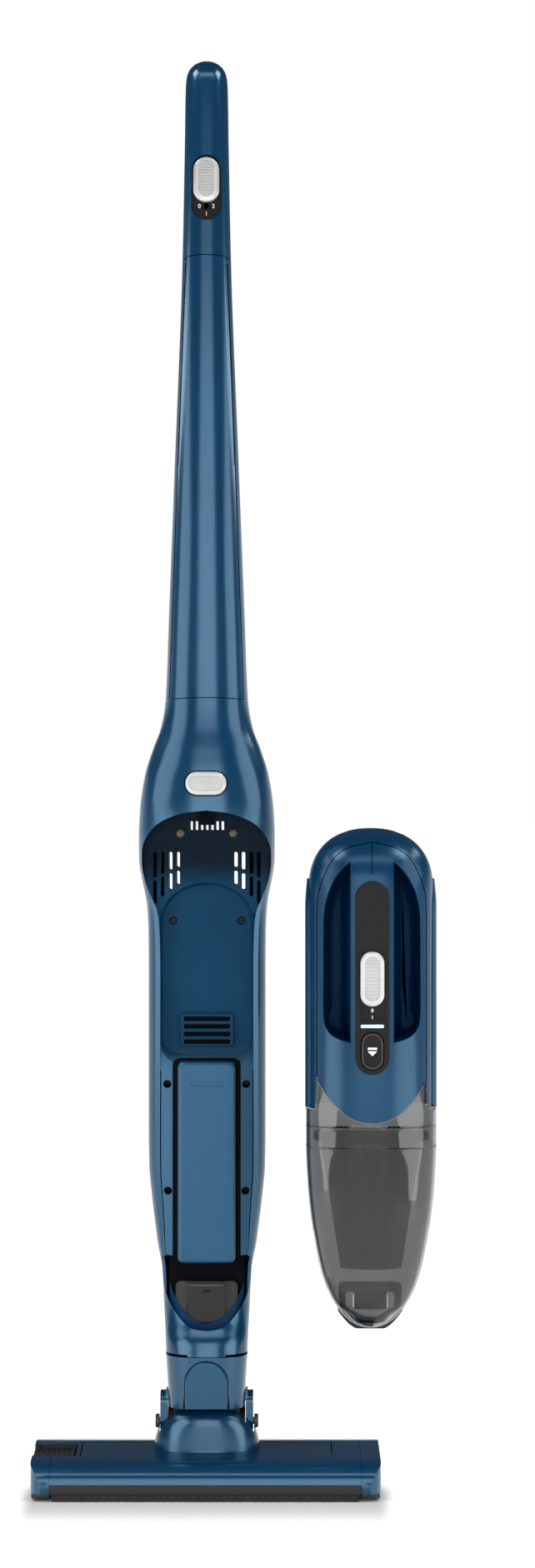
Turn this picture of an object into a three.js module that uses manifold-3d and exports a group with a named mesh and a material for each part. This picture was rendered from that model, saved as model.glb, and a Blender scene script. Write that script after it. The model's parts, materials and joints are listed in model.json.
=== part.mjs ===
// A two-in-one cordless stick vacuum: floor head, jointed neck, dock body, tube, handle,
// and the handheld unit standing clear of its bay. Millimetres, +Z up, the front faces -Y.
// The origin is on the sole of the floor head, under the middle of the stick.

import * as THREE from "three";
import { mergeVertices } from "three/addons/utils/BufferGeometryUtils.js";
import Module from "manifold-3d";

const wasm = await Module();
wasm.setup();

// ---------------------------------------------------------------- driving dimensions
const WALL = 2.4; // moulded wall
const GAP = 0.3; // clearance between touching pieces
const RING_POINTS = 16;
const ROUNDNESS = 2.6; // exponent of the superellipse that rings follow
const FAR = 400;

// rings round the stick: height, half width, front, rear
const NECK_RINGS = [
  [66, 31.1, -22, 30],
  [72, 31.1, -24, 30],
  [108, 33.1, -25, 31],
];
const STICK_RINGS = [
  [108.6, 33.1, -25, 31],
  [120, 33.5, -23, 32],
  [132, 34.1, -17, 33],
  [146, 34.9, -13, 34],
  [176, 36.4, -11.5, 38],
  [194, 40.4, -10, 41],
  [207, 41.8, -9, 42],
  [232, 44.6, -8, 44],
  [258, 47.5, -8, 45],
  [420, 47.5, -8, 47],
  [465, 48.5, -10, 48],
  [476, 49.6, -16, 48],
  [492, 52.9, -28, 49],
  [505, 55, -36, 49],
  [520, 55, -38, 49],
  [546, 54, -38, 48],
  [573, 50.6, -37, 47],
  [593, 44.5, -35, 45],
  [612, 37.4, -32, 42],
  [630, 33.5, -29, 40],
  [648, 32.6, -28, 38],
  [810, 26.4, -25, 29],
  [988, 19.6, -21, 23],
  [1083, 17.7, -19, 21],
  [1134, 16.8, -17, 19],
  [1142, 14.6, -14.5, 16.5],
  [1147, 10.5, -10.5, 12.5],
  [1150, 4, -4, 6],
];
const SEAM_TUBE = { side: 630.5, rise: 5.5 };
const SEAM_HANDLE = { side: 986.6, rise: 4.4 };
const SEAM_NECK = 186;

const SHELL_SPLIT_Y = 2; // front and rear casings meet here
const BAY_FLOOR_Y = -5.3;
const BOWL_FLOOR_Y = 8;
const LINER_REAR_Y = 21;
const LINER_TOP = 552;
const RAIL_INNER = 43.3;
const POCKET = { half: 41, floorHalf: 32, bottom: 345, top: 490, floorY: 17 };
const BUTTON_Z = 567.5;
const PIN = { x: 21.5, z: 527.5, radius: 3.8 };
const SCREWS = [
  [27.6, 456],
  [31.8, 325],
  [31.2, 239],
];
const PANEL = { half: 23.2, bottom: 182, top: 344, front: -14, bevel: 3 };
const COUPLING = { half: 25, bottom: 132.5, top: 167, front: -9 };

const HAND_X = 131; // the handheld unit's middle, beside the stick
const HAND_AXIS_Y = -21; // axis of its motor
const HAND_RINGS = [
  [296, 49.5, -79, -16],
  [347, 49.5, -80, -16],
  [353, 49.5, -80, 1],
  [498, 49.5, -77, 1],
  [514, 42, -71, -3],
  [525, 28, -61, -9],
  [530, 14, -50, -18],
  [532, 4, -40, -28],
];
const CUP_RINGS = [
  [137, 10.8, -44, -31],
  [142, 18.5, -49, -28.5],
  [151, 26.2, -53, -26],
  [163, 33.6, -58, -22],
  [181, 40, -63, -18],
  [205, 44.9, -69, -16.5],
  [223, 47.8, -73, -16],
  [251, 50.5, -76.5, -16],
  [281, 52, -79, -16],
  [312, 52, -79, -16],
  [334, 49.2, -78, -16],
];
const CUP_SEAM = { middle: 301, corner: 333, half: 42.4 };
const CUP_WALL = 2.2;

const HEAD = { half: 139, front: -60, rear: 58, coverBottom: 13.6, capHalf: 123.5 };
const TILT_AXIS = { y: 8, z: 52 };
const ROLLER = { y: -30, z: 12.6, radius: 11.8, reach: 119.5 };
const WHEEL = { x: 52, y: 40, radius: 10, width: 9 };

// ---------------------------------------------------------------- helpers
function solidOf(geometry) {
  const plain = geometry.clone();
  plain.deleteAttribute("normal");
  plain.deleteAttribute("uv");
  const merged = mergeVertices(plain, 1e-4);
  return new wasm.Manifold(
    new wasm.Mesh({
      numProp: 3,
      vertProperties: Float32Array.from(merged.attributes.position.array),
      triVerts: Uint32Array.from(merged.index.array),
    }),
  );
}

function geometryOf(solid) {
  const mesh = solid.getMesh();
  const geometry = new THREE.BufferGeometry();
  geometry.setAttribute("position", new THREE.BufferAttribute(mesh.vertProperties, 3));
  geometry.setIndex(new THREE.BufferAttribute(mesh.triVerts, 1));
  return geometry;
}

function joined(...solids) {
  return solids.reduce((sum, solid) => sum.add(solid));
}

// a closed body through a stack of rings with the same number of points
function loft(rings) {
  const count = rings[0].length;
  const points = rings.flat();
  const triangles = [];
  for (let level = 0; level + 1 < rings.length; level++) {
    for (let i = 0; i < count; i++) {
      const a = level * count + i;
      const b = level * count + ((i + 1) % count);
      triangles.push(a, b, b + count, a, b + count, a + count);
    }
  }
  const last = points.length - count;
  for (let i = 1; i + 1 < count; i++) {
    triangles.push(0, i + 1, i, last, last + i, last + i + 1);
  }
  const geometry = new THREE.BufferGeometry().setFromPoints(points);
  geometry.setIndex(triangles);
  return solidOf(geometry);
}

function ringPoints([z, half, front, rear], inset = 0, count = RING_POINTS) {
  const middle = (front + rear) / 2;
  const depth = (rear - front) / 2 - inset;
  const bend = (value) => Math.sign(value) * Math.abs(value) ** (2 / ROUNDNESS);
  return Array.from({ length: count }, (_, i) => {
    const angle = (i / count) * 2 * Math.PI;
    const x = (half - inset) * bend(Math.cos(angle));
    return new THREE.Vector3(x, middle + depth * bend(Math.sin(angle)), z);
  });
}

function ringLoft(rows, inset = 0) {
  const kept = rows.filter(([, half, front, rear]) => Math.min(half, (rear - front) / 2) > inset + 1);
  return loft(kept.map((row) => ringPoints(row, inset)));
}

function box(x0, x1, y0, y1, z0, z1) {
  const geometry = new THREE.BoxGeometry(x1 - x0, y1 - y0, z1 - z0);
  return solidOf(geometry.translate((x0 + x1) / 2, (y0 + y1) / 2, (z0 + z1) / 2));
}

function extruded(shape, depth, segments, bevel = 0) {
  return new THREE.ExtrudeGeometry(shape, {
    depth: depth - 2 * bevel,
    curveSegments: segments,
    bevelEnabled: bevel > 0,
    bevelSize: bevel,
    bevelOffset: -bevel,
    bevelThickness: bevel,
    bevelSegments: 1,
  }).translate(0, 0, bevel);
}

// an outline in x and z, pushed along y
function prismY(shape, y0, y1, segments = 5, bevel = 0) {
  const geometry = extruded(shape, y1 - y0, segments, bevel);
  return solidOf(geometry.rotateX(Math.PI / 2).translate(0, y1, 0));
}

// an outline in y and z, pushed along x
function prismX(shape, x0, x1, segments = 5) {
  const turn = new THREE.Matrix4().makeBasis(
    new THREE.Vector3(0, 1, 0),
    new THREE.Vector3(0, 0, 1),
    new THREE.Vector3(1, 0, 0),
  );
  return solidOf(extruded(shape, x1 - x0, segments).applyMatrix4(turn).translate(x0, 0, 0));
}

function prismZ(shape, z0, z1, segments = 5) {
  return solidOf(extruded(shape, z1 - z0, segments).translate(0, 0, z0));
}

function polygon(points) {
  return new THREE.Shape(points.map(([a, b]) => new THREE.Vector2(a, b)));
}

function roundedRect(x0, x1, y0, y1, radius) {
  const shape = new THREE.Shape();
  shape.absarc(x1 - radius, y1 - radius, radius, 0, Math.PI / 2);
  shape.absarc(x0 + radius, y1 - radius, radius, Math.PI / 2, Math.PI);
  shape.absarc(x0 + radius, y0 + radius, radius, Math.PI, 1.5 * Math.PI);
  shape.absarc(x1 - radius, y0 + radius, radius, 1.5 * Math.PI, 2 * Math.PI);
  return shape;
}

function circle(x, y, radius) {
  return new THREE.Shape().absarc(x, y, radius, 0, 2 * Math.PI);
}

function rodX(x0, x1, y, z, radius, segments = 7) {
  return prismX(circle(y, z, radius), x0, x1, segments);
}

function rodY(x, z, y0, y1, radius, segments = 5) {
  return prismY(circle(x, z, radius), y0, y1, segments);
}

function rodZ(x, y, z0, z1, radius, segments = 7) {
  return prismZ(circle(x, y, radius), z0, z1, segments);
}

// everything above an arched seam that is `rise` higher in the middle than at `half`
function aboveArch({ side, rise }, half, shift = 0) {
  const steps = 8;
  const edge = Array.from({ length: steps + 1 }, (_, i) => {
    const x = half * ((2 * i) / steps - 1);
    return [x, side + shift + rise * (1 - (x / half) ** 2)];
  });
  return prismY(polygon([[-half, 2000], [-half, edge[0][1]], ...edge.slice(1), [half, 2000]]), -FAR, FAR);
}

function mirrored(right) {
  return [right, right.mirror([1, 0, 0])];
}

// ---------------------------------------------------------------- nodes
const vacuum = new THREE.Group();
vacuum.name = "cordless_stick_vacuum";

const FINISH = {
  blue: ["#123f63", 0.22, 0.1],
  navy: ["#04182c", 0.45, 0],
  silver: ["#c9cbcd", 0.3, 0.8],
  black: ["#151515", 0.5, 0],
  grey: ["#4a4845", 0.55, 0],
  brown: ["#2a211c", 0.5, 0],
  smoke: ["#5a6064", 0.08, 0],
  metal: ["#9a9a98", 0.35, 1],
  brass: ["#8a7a52", 0.35, 1],
  filter: ["#8d9094", 0.9, 0],
  glow: ["#9fd0e4", 0.3, 0],
  board: ["#1d5a3a", 0.5, 0],
  red: ["#7a2a2a", 0.6, 0],
};

function add(name, solid, finish, x = 0) {
  const [color, roughness, metalness] = FINISH[finish];
  const mesh = new THREE.Mesh(
    geometryOf(solid),
    new THREE.MeshStandardMaterial({ color, roughness, metalness }),
  );
  mesh.name = name;
  mesh.position.x = x;
  vacuum.add(mesh);
}

// ---------------------------------------------------------------- stick casings
const stickOuter = ringLoft(STICK_RINGS);
const stickShell = stickOuter.subtract(ringLoft(STICK_RINGS, WALL));
const stickCore = ringLoft(STICK_RINGS, WALL + GAP);

function front(solid) {
  return solid.intersect(box(-FAR, FAR, -FAR, SHELL_SPLIT_Y - GAP, 0, 2000));
}

function rear(solid) {
  return solid.intersect(box(-FAR, FAR, SHELL_SPLIT_Y, FAR, 0, 2000));
}

// the mouth of the bay, seen from the front
function bayOutline(grow = 0) {
  const shape = new THREE.Shape();
  shape.moveTo(-RAIL_INNER - grow, 120);
  shape.lineTo(RAIL_INNER + grow, 120);
  shape.lineTo(RAIL_INNER + grow, 462);
  shape.lineTo(50.5 + grow, 500);
  shape.splineThru(
    [
      [49.5, 519],
      [39.5, 534],
      [21, 543],
      [0, 546],
      [-21, 543],
      [-39.5, 534],
      [-49.5, 519],
      [-50.5 - grow, 500],
    ].map(([x, z]) => new THREE.Vector2(x, z)),
  );
  shape.lineTo(-RAIL_INNER - grow, 462);
  return shape;
}

// the U that the nose of the handheld unit lies in, drawn in by `inset`
function notchOutline(inset = 0) {
  const right = [
    [11, 132],
    [22.7, 142],
    [31, 154],
    [35.5, 165],
    [36.5, 184],
  ].map(([x, z]) => [x - inset, z + inset]);
  const left = right.map(([x, z]) => [-x, z]).reverse();
  const curve = [...left.slice(1), [0, 128.5 + inset], ...right];
  const shape = new THREE.Shape();
  shape.moveTo(-60, 300);
  shape.lineTo(...left[0]);
  shape.splineThru(curve.map(([x, z]) => new THREE.Vector2(x, z)));
  shape.lineTo(60, 300);
  return shape;
}

function backVentSlots() {
  const slots = Array.from({ length: 7 }, (_, i) => {
    const x = (i - 3) * 4.2;
    return box(x - 1.1, x + 1.1, BAY_FLOOR_Y, 80, 529.5, 536.5);
  });
  return joined(...slots);
}

// side slots of the bowl: the two inner columns go right through the rear casing
function sideVentSlots(reach) {
  const columns = [
    [42, 40, LINER_REAR_Y + 2],
    [36, 32, LINER_REAR_Y + 2],
    [29.5, 22, reach],
    [23, 14, reach],
  ];
  const right = columns.map(([x, height, depth]) =>
    prismY(roundedRect(x - 2, x + 2, 512 - height, 512, 1.9), BOWL_FLOOR_Y - 2, depth, 2),
  );
  return joined(...mirrored(joined(...right)));
}

function makeNeckTop() {
  const ring = stickShell.subtract(aboveArch({ side: SEAM_NECK, rise: 0 }, 200, -GAP));
  add("upper_neck_shell", ring.subtract(prismY(notchOutline(), -60, 6, 2)), "blue");
  const collar = rodZ(0, 3, 100.5, 118, 22, 10).subtract(rodZ(0, 3, 90, 130, 18.5, 10));
  add("swivel_collar", collar, "black");
}

function makeCoupling() {
  const { half, bottom, top, front: face } = COUPLING;
  const plate = prismY(roundedRect(-half, half, bottom, top, 5), face, 0, 4, 0.8);
  const duct = prismY(roundedRect(-15, 15, 136, 162, 4), -2, 16).subtract(
    prismY(roundedRect(-13, 13, 138, 160, 3), -4, 20),
  );
  const slot = box(-3, 3, face - 1, face + 2, 158.5, 160.5);
  add("suction_coupling", plate.add(duct).subtract(slot).intersect(stickCore), "grey");
}

function makeDock() {
  const section = stickShell
    .intersect(aboveArch({ side: SEAM_NECK, rise: 0 }, 200))
    .subtract(aboveArch(SEAM_TUBE, 60, -GAP / 2));
  const backVents = backVentSlots();
  const rearVents = sideVentSlots(80);
  add("dock_rear_shell", rear(section).subtract(backVents).subtract(rearVents), "blue");
  const buttonHole = prismY(roundedRect(-17.4, 17.4, BUTTON_Z - 10.4, BUTTON_Z + 10.4, 10.3), -60, 0, 6);
  const face = front(section)
    .subtract(prismY(bayOutline(), -90, 40, 2))
    .subtract(buttonHole);
  add("dock_front_shell", face, "blue");

  const plug = prismY(roundedRect(-16.4, 16.4, BUTTON_Z - 9.5, BUTTON_Z + 9.5, 9.4), -39.5, -24, 6, 0.8);
  add("dock_release_button", plug, "silver");
  const hook = box(-7, 7, -20, 6, 556, 559).add(box(-6, 6, -14, -8, 534, 558));
  add("dock_latch", hook, "grey");

  const { half, floorHalf, bottom, top, floorY } = POCKET;
  const pocketRing = (width, low, high, y) =>
    roundedRect(-width, width, low, high, 18)
      .getPoints(5)
      .slice(0, -1)
      .map((p) => new THREE.Vector3(p.x, y, p.y));
  const pocket = loft([
    pocketRing(floorHalf, bottom + 9, top - 9, floorY),
    pocketRing(half, bottom, top, BAY_FLOOR_Y - 1),
  ]);
  const upperBay = prismY(bayOutline(), -90, BOWL_FLOOR_Y, 2).intersect(
    box(-FAR, FAR, -FAR, FAR, 468, 600),
  );
  const latchSlot = box(-8, 8, -16, -6, 530, 600);
  const grooves = joined(...mirrored(box(23.5, 26.6, BAY_FLOOR_Y - 1, 0, 187, 345)));
  const hollow = box(-38, 38, 0.5, 40, 200, 336);
  const pins = joined(...mirrored(rodY(PIN.x, PIN.z, 0, 40, 1.9)));
  const screwHoles = SCREWS.map(([x, z]) => joined(...mirrored(rodY(x, z, -9, 40, 3.4))));
  const liner = stickCore
    .intersect(box(-FAR, FAR, -FAR, LINER_REAR_Y, SEAM_NECK + 1, LINER_TOP))
    .subtract(prismY(bayOutline(), -90, BAY_FLOOR_Y, 2))
    .subtract(joined(upperBay, pocket, latchSlot, grooves, hollow, pins, backVents))
    .subtract(rearVents)
    .subtract(joined(...screwHoles));
  add("bay_liner", liner, "blue");

  const grille = [0, 1, 2, 3].reduce(
    (plate, i) => plate.subtract(box(-19, 19, 0, 30, 347.5 + i * 6.2, 351 + i * 6.2)),
    prismY(roundedRect(-21.8, 21.8, 344.6, 371, 3), 9, 12, 3),
  );
  add("air_grille", grille.subtract(box(-30, 30, 0, 30, 340, 355)), "blue");

  const panelBody = prismY(
    roundedRect(-PANEL.half, PANEL.half, PANEL.bottom, PANEL.top, 4),
    PANEL.front,
    BAY_FLOOR_Y - GAP,
    3,
    PANEL.bevel,
  );
  const groove = prismY(roundedRect(-13, 13, 324, 328, 1.9), PANEL.front - 1, PANEL.front + 1, 4);
  add("central_panel", panelBody.subtract(groove), "blue");

  for (const [side, sign] of [["left", -1], ["right", 1]]) {
    const pin = rodY(sign * PIN.x, PIN.z, 4, BOWL_FLOOR_Y - GAP, PIN.radius).add(
      rodY(sign * PIN.x, PIN.z, 6, 25, 1.5),
    );
    add(`contact_pin_${side}`, pin, "brass");
    SCREWS.forEach(([x, z], i) => {
      const head = rodY(sign * x, z, 17.5, 20, 3).add(rodY(sign * x, z, 19, 29, 1.5, 3));
      add(`dock_screw_${side}_${i + 1}`, head.subtract(rodY(sign * x, z, 17, 18.6, 1.4, 3)), "metal");
    });
  }
}

function makeTube() {
  const section = stickShell
    .intersect(aboveArch(SEAM_TUBE, 60, GAP / 2))
    .subtract(aboveArch(SEAM_HANDLE, 40, -GAP / 2));
  const outline = (grow) =>
    polygon([
      [-30 - grow, 620],
      [30 + grow, 620],
      [23.2 + grow, 810],
      [16 + grow, 995],
      [-16 - grow, 995],
      [-23.2 - grow, 810],
    ]);
  const panelSlab = prismY(outline(0), -60, 0);
  add("tube_front_panel", section.intersect(panelSlab), "blue");
  add("tube_shell", section.subtract(prismY(outline(GAP), -60, 0)), "blue");
  const cable = new THREE.CatmullRomCurve3([
    new THREE.Vector3(0, 12, 565),
    new THREE.Vector3(2, 16, 700),
    new THREE.Vector3(-2, 12, 860),
    new THREE.Vector3(0, 8, 1040),
  ]);
  const section8 = circle(0, 0, 2.5);
  const run = new THREE.ExtrudeGeometry(section8, {
    steps: 12,
    curveSegments: 4,
    extrudePath: cable,
    bevelEnabled: false,
  });
  add("control_cable", solidOf(run), "black");
}

function makeHandle() {
  const section = stickShell.intersect(aboveArch(SEAM_HANDLE, 40, GAP / 2));
  const plateHole = prismY(roundedRect(-12, 12, 1018.7, 1071.3, 11.9), -40, 0, 6);
  add("handle_rear_shell", rear(section), "blue");
  add("handle_front_shell", front(section).subtract(plateHole), "blue");
  const slot = box(-1.8, 1.8, -30, 0, 1028, 1066);
  const plate = prismY(roundedRect(-11.7, 11.7, 1019, 1071, 11.6), -17.4, -15.4, 6);
  add("switch_plate", plate.subtract(slot), "black");
  const knob = prismY(roundedRect(-10.3, 10.3, 1033, 1069, 10.2), -23, -17.8, 6, 1);
  const stem = box(-1.4, 1.4, -19, -12, 1048, 1060);
  const ribs = Array.from({ length: 5 }, (_, i) =>
    box(-5, 5, -24, -22.3, 1052 + i * 3, 1053.4 + i * 3),
  );
  add("handle_switch_knob", joined(knob, stem).subtract(joined(...ribs)), "silver");
}

// ---------------------------------------------------------------- neck
function archOutline(half, bottom, top) {
  const shape = new THREE.Shape();
  shape.moveTo(-half, bottom);
  shape.lineTo(half, bottom);
  shape.absarc(0, top - half, half, 0, Math.PI);
  return shape;
}

function makeNeck() {
  const shell = ringLoft(NECK_RINGS).subtract(
    loft(NECK_RINGS.map(([z, ...rest], i) => ringPoints([z + (i ? 0.6 : -4), ...rest], WALL))),
  );
  const coverHole = prismY(archOutline(17.4, 60, 105.4), -60, 0, 8);
  const cover = prismY(archOutline(17, 66.8, 105), -27, -21.5, 8, 0.8);
  const ears = joined(
    ...mirrored(
      prismX(roundedRect(TILT_AXIS.y - 10, TILT_AXIS.y + 10, 45, 76, 9), 31.4, 37.5, 5).add(
        box(28.5, 36, TILT_AXIS.y - 9, TILT_AXIS.y + 9, 70, 78),
      ),
    ),
  ).subtract(rodX(-60, 60, TILT_AXIS.y, TILT_AXIS.z, 3.4));
  add("lower_neck_shell", shell.add(ears).subtract(coverHole), "blue");
  add("neck_arch_cover", cover, "blue");
  const barrel = rodX(-28, 28, TILT_AXIS.y, TILT_AXIS.z, 13.5, 10).add(
    box(-22, 22, TILT_AXIS.y - 12, TILT_AXIS.y + 12, 52, 80),
  );
  const throat = rodZ(0, TILT_AXIS.y, 40, 90, 10, 6).add(
    rodX(-12, 12, TILT_AXIS.y, TILT_AXIS.z, 9.5, 7),
  );
  add("hinge_barrel", barrel.subtract(throat).subtract(rodZ(0, TILT_AXIS.y, 20, 52, 10, 6)), "black");
}

// ---------------------------------------------------------------- floor head
function headProfile() {
  const shape = new THREE.Shape();
  shape.moveTo(HEAD.rear - 4, 3);
  shape.lineTo(HEAD.rear, 12);
  shape.lineTo(HEAD.rear - 6, 24);
  shape.quadraticCurveTo(HEAD.rear - 16, 33, 20, 33.5);
  shape.lineTo(-38, 30);
  shape.quadraticCurveTo(-57, 28.5, HEAD.front, 14);
  shape.lineTo(HEAD.front, 5);
  shape.lineTo(HEAD.front + 4, 2);
  return shape;
}

function makeHead() {
  const { half, front: face, rear: back, coverBottom, capHalf } = HEAD;
  const plan = roundedRect(-half, half, face - 1, back + 1, 13);
  const frontView = roundedRect(-half, half, 0, 60, 5);
  const body = prismX(headProfile(), -half, half, 6)
    .intersect(prismZ(plan, -1, 70, 4))
    .intersect(prismY(frontView, -90, 90, 3));

  const hump = prismX(
    polygon([
      [-34, 28],
      [-24, 50],
      [-14, 56],
      [10, 58],
      [24, 50],
      [34, 28],
    ]),
    -45,
    45,
  ).intersect(
    prismY(
      polygon([
        [-45, 25],
        [45, 25],
        [42, 46],
        [36, 56],
        [20, 60],
        [-20, 60],
        [-36, 56],
        [-42, 46],
      ]),
      -60,
      60,
    ),
  );
  const neckWell = joined(
    rodX(-30, 30, TILT_AXIS.y, TILT_AXIS.z, 17, 10),
    box(-30, 30, TILT_AXIS.y - 17, 60, 33.8, 80),
    joined(...mirrored(rodX(30.9, 38, TILT_AXIS.y, TILT_AXIS.z, 14, 7))),
    joined(...mirrored(box(28, 38, TILT_AXIS.y, 60, 40, 80))),
    joined(...mirrored(rodX(37.9, 50, TILT_AXIS.y, TILT_AXIS.z, 6.4))),
    joined(...mirrored(box(37.9, 50, TILT_AXIS.y - 6.4, 60, TILT_AXIS.z, 80))),
  );
  const inside = prismX(
    polygon([
      [back - 8, 10],
      [back - 9, 22],
      [18, 30.5],
      [-38, 27.2],
      [-53, 22],
      [-57, 13],
      [-57, 10],
    ]),
    -capHalf - 20,
    capHalf + 20,
  );
  const coverZone = box(-capHalf + GAP, capHalf - GAP, -90, 90, coverBottom, 90);
  const buttonWell = box(-capHalf - 1, -104, -30, 10, 20, 60);
  const topGroove = prismZ(roundedRect(-101, 101, -32, 16, 3), 29, 60, 3).subtract(
    prismZ(roundedRect(-100, 100, -31, 15, 2.5), 20, 70, 3),
  );
  const bossHoles = rodX(-60, 60, TILT_AXIS.y, TILT_AXIS.z, 3.4);
  const cover = body
    .subtract(inside)
    .add(hump.subtract(box(-60, 60, -90, 90, 0, 29)))
    .subtract(joined(neckWell, bossHoles, buttonWell))
    .subtract(topGroove)
    .intersect(coverZone);
  add("head_cover", cover, "blue");

  const sole = body
    .intersect(box(-capHalf + GAP, capHalf - GAP, -56.5, 90, -1, coverBottom - GAP))
    .add(box(-capHalf + 8, capHalf - 8, -12, 48, 0, 6));
  const brushBay = box(-capHalf - 5, capHalf - 6, -46, -14, -5, 30);
  const tray = box(-capHalf + 4, capHalf - 4, -10, back - 8, 3, 30);
  const frontGap = box(-capHalf - 5, capHalf - 6, -52.5, -40, 6, 30);
  const beltSlot = box(111.5, 118.6, -46, back - 8, 3, 30);
  const wheelWells = joined(
    ...mirrored(box(WHEEL.x - 7, WHEEL.x + 7, WHEEL.y - 12, WHEEL.y + 12, -5, 30)),
  );
  add("sole_plate", sole.subtract(joined(brushBay, tray, frontGap, wheelWells, beltSlot)), "black");

  const strip = body
    .intersect(box(-capHalf + GAP, capHalf - GAP, -90, -56.8, 1, coverBottom - GAP))
    .intersect(box(-FAR, FAR, -90, 0, 4, 30));
  add("bumper_strip", strip, "grey");

  const capSolid = body.intersect(box(capHalf, half + 5, -90, 90, 0, 60));
  const buttonCut = box(-half - 5, -capHalf + 5, -27.5, 7.5, 23, 60);
  add("right_end_cap", capSolid, "blue");
  const leftCap = capSolid.mirror([1, 0, 0]).subtract(buttonCut);
  const bearing = rodX(-capHalf - 1, -capHalf + 6, ROLLER.y, ROLLER.z, 4);
  add("left_end_cap", leftCap.add(bearing), "blue");

  const button = body
    .add(box(-half, -100, -30, 10, 20, 31))
    .intersect(box(-half + 1, -105.5, -26.5, 6.5, 25.5, 36));
  add("brush_release_button", button, "brown");
}

function makeBrush() {
  const { y, z, radius } = ROLLER;
  const core = rodX(-ROLLER.reach, 112, y, z, 8);
  const fins = Array.from({ length: 4 }, (_, i) => {
    const fin = box(-ROLLER.reach + 3, 109, -1.1, 1.1, 4, radius);
    return fin.rotate([i * 90 + 20, 0, 0]).translate([0, y, z]);
  });
  const hub = rodX(-130, -ROLLER.reach + 8, y, z, 4.5);
  const pulley = rodX(110, 116.5, y, z, 2.8).add(rodX(113.2, 116.5, y, z, 7.5));
  add("brush_roller", joined(core, ...fins).subtract(hub).add(pulley), "grey");
  const run = (inset) => {
    const loop = new THREE.Shape();
    const lean = Math.atan2(17 - z, 30 - y);
    loop.absarc(30, 17, 6.6 - inset, lean - Math.PI / 2, lean + Math.PI / 2);
    loop.absarc(y, z, 9.2 - inset, lean + Math.PI / 2, lean + 1.5 * Math.PI);
    return loop;
  };
  add("drive_belt", prismX(run(0), 113.4, 116.4, 8).subtract(prismX(run(1.2), 100, 120, 8)), "black");
  const motor = joined(rodX(68, 108, 30, 17, 8.5), rodX(106, 114, 30, 17, 2), rodX(113.2, 116.5, 30, 17, 5));
  add("brush_motor", motor, "metal");
  const duct = box(-18, 18, -9, 26, 6.5, 28).subtract(
    joined(box(-15.5, 15.5, -12, 0, 8.5, 26), box(-15.5, 15.5, -1, 23.5, 8.5, 40)),
  );
  add("suction_duct", duct, "black");
}

function makeWheels() {
  const { x, y, radius, width } = WHEEL;
  for (const [side, sign] of [["left", -1], ["right", 1]]) {
    const middle = sign * x;
    const tyre = rodX(middle - width / 2, middle + width / 2, y, radius, radius, 9);
    add(`rear_wheel_${side}`, tyre, "black");
    const near = sign > 0 ? 33 : -41.6;
    const boss = rodX(near, near + 8.6, TILT_AXIS.y, TILT_AXIS.z, 3).add(
      rodX(sign > 0 ? 38.3 : -41.6, sign > 0 ? 41.6 : -38.3, TILT_AXIS.y, TILT_AXIS.z, 5.6),
    );
    add(`hinge_boss_${side}`, boss, "grey");
  }
}

// ---------------------------------------------------------------- handheld unit
const handOuter = ringLoft(HAND_RINGS);
const handInner = ringLoft(HAND_RINGS.slice(0, -1), WALL).add(
  ringLoft([[280, 49.5, -79, -16], HAND_RINGS[0]], WALL),
);
const cupOuter = ringLoft(CUP_RINGS);

// everything above the arched edge between the casing and the container
function aboveCupSeam(shift) {
  const { middle, corner, half } = CUP_SEAM;
  const steps = 12;
  const edge = Array.from({ length: steps + 1 }, (_, i) => {
    const x = half * ((2 * i) / steps - 1);
    return [x, middle + shift + (corner - middle) * Math.abs(x / half) ** 2.2];
  });
  const ledge = 311 + shift;
  const left = [[-80, 900], [-80, ledge], [-half - 3, ledge]];
  const right = [[half + 3, ledge], [80, ledge], [80, 900]];
  return prismY(polygon([...left, ...edge, ...right]), -FAR, FAR);
}

function coverOutline(grow) {
  const half = 42.8 + grow;
  const shape = new THREE.Shape();
  shape.moveTo(half, 290);
  shape.lineTo(half, 466);
  shape.splineThru(
    [
      [41 + grow, 484],
      [31.5, 506 + grow],
      [18.5, 516.5 + grow],
      [0, 521 + grow],
      [-18.5, 516.5 + grow],
      [-31.5, 506 + grow],
      [-41 - grow, 484],
      [-half, 466],
    ].map(([x, z]) => new THREE.Vector2(x, z)),
  );
  shape.lineTo(-half, 290);
  return shape;
}

function scoopOutline(grow) {
  const shape = new THREE.Shape();
  shape.moveTo(16.8 - grow, 364 - grow);
  shape.quadraticCurveTo(33, 368 - grow, 38 + grow, 384 - grow);
  shape.lineTo(38 + grow, 480);
  shape.quadraticCurveTo(37 + grow, 502, 17.5, 506 + grow);
  shape.lineTo(16.8 - grow, 500);
  return shape;
}

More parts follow.
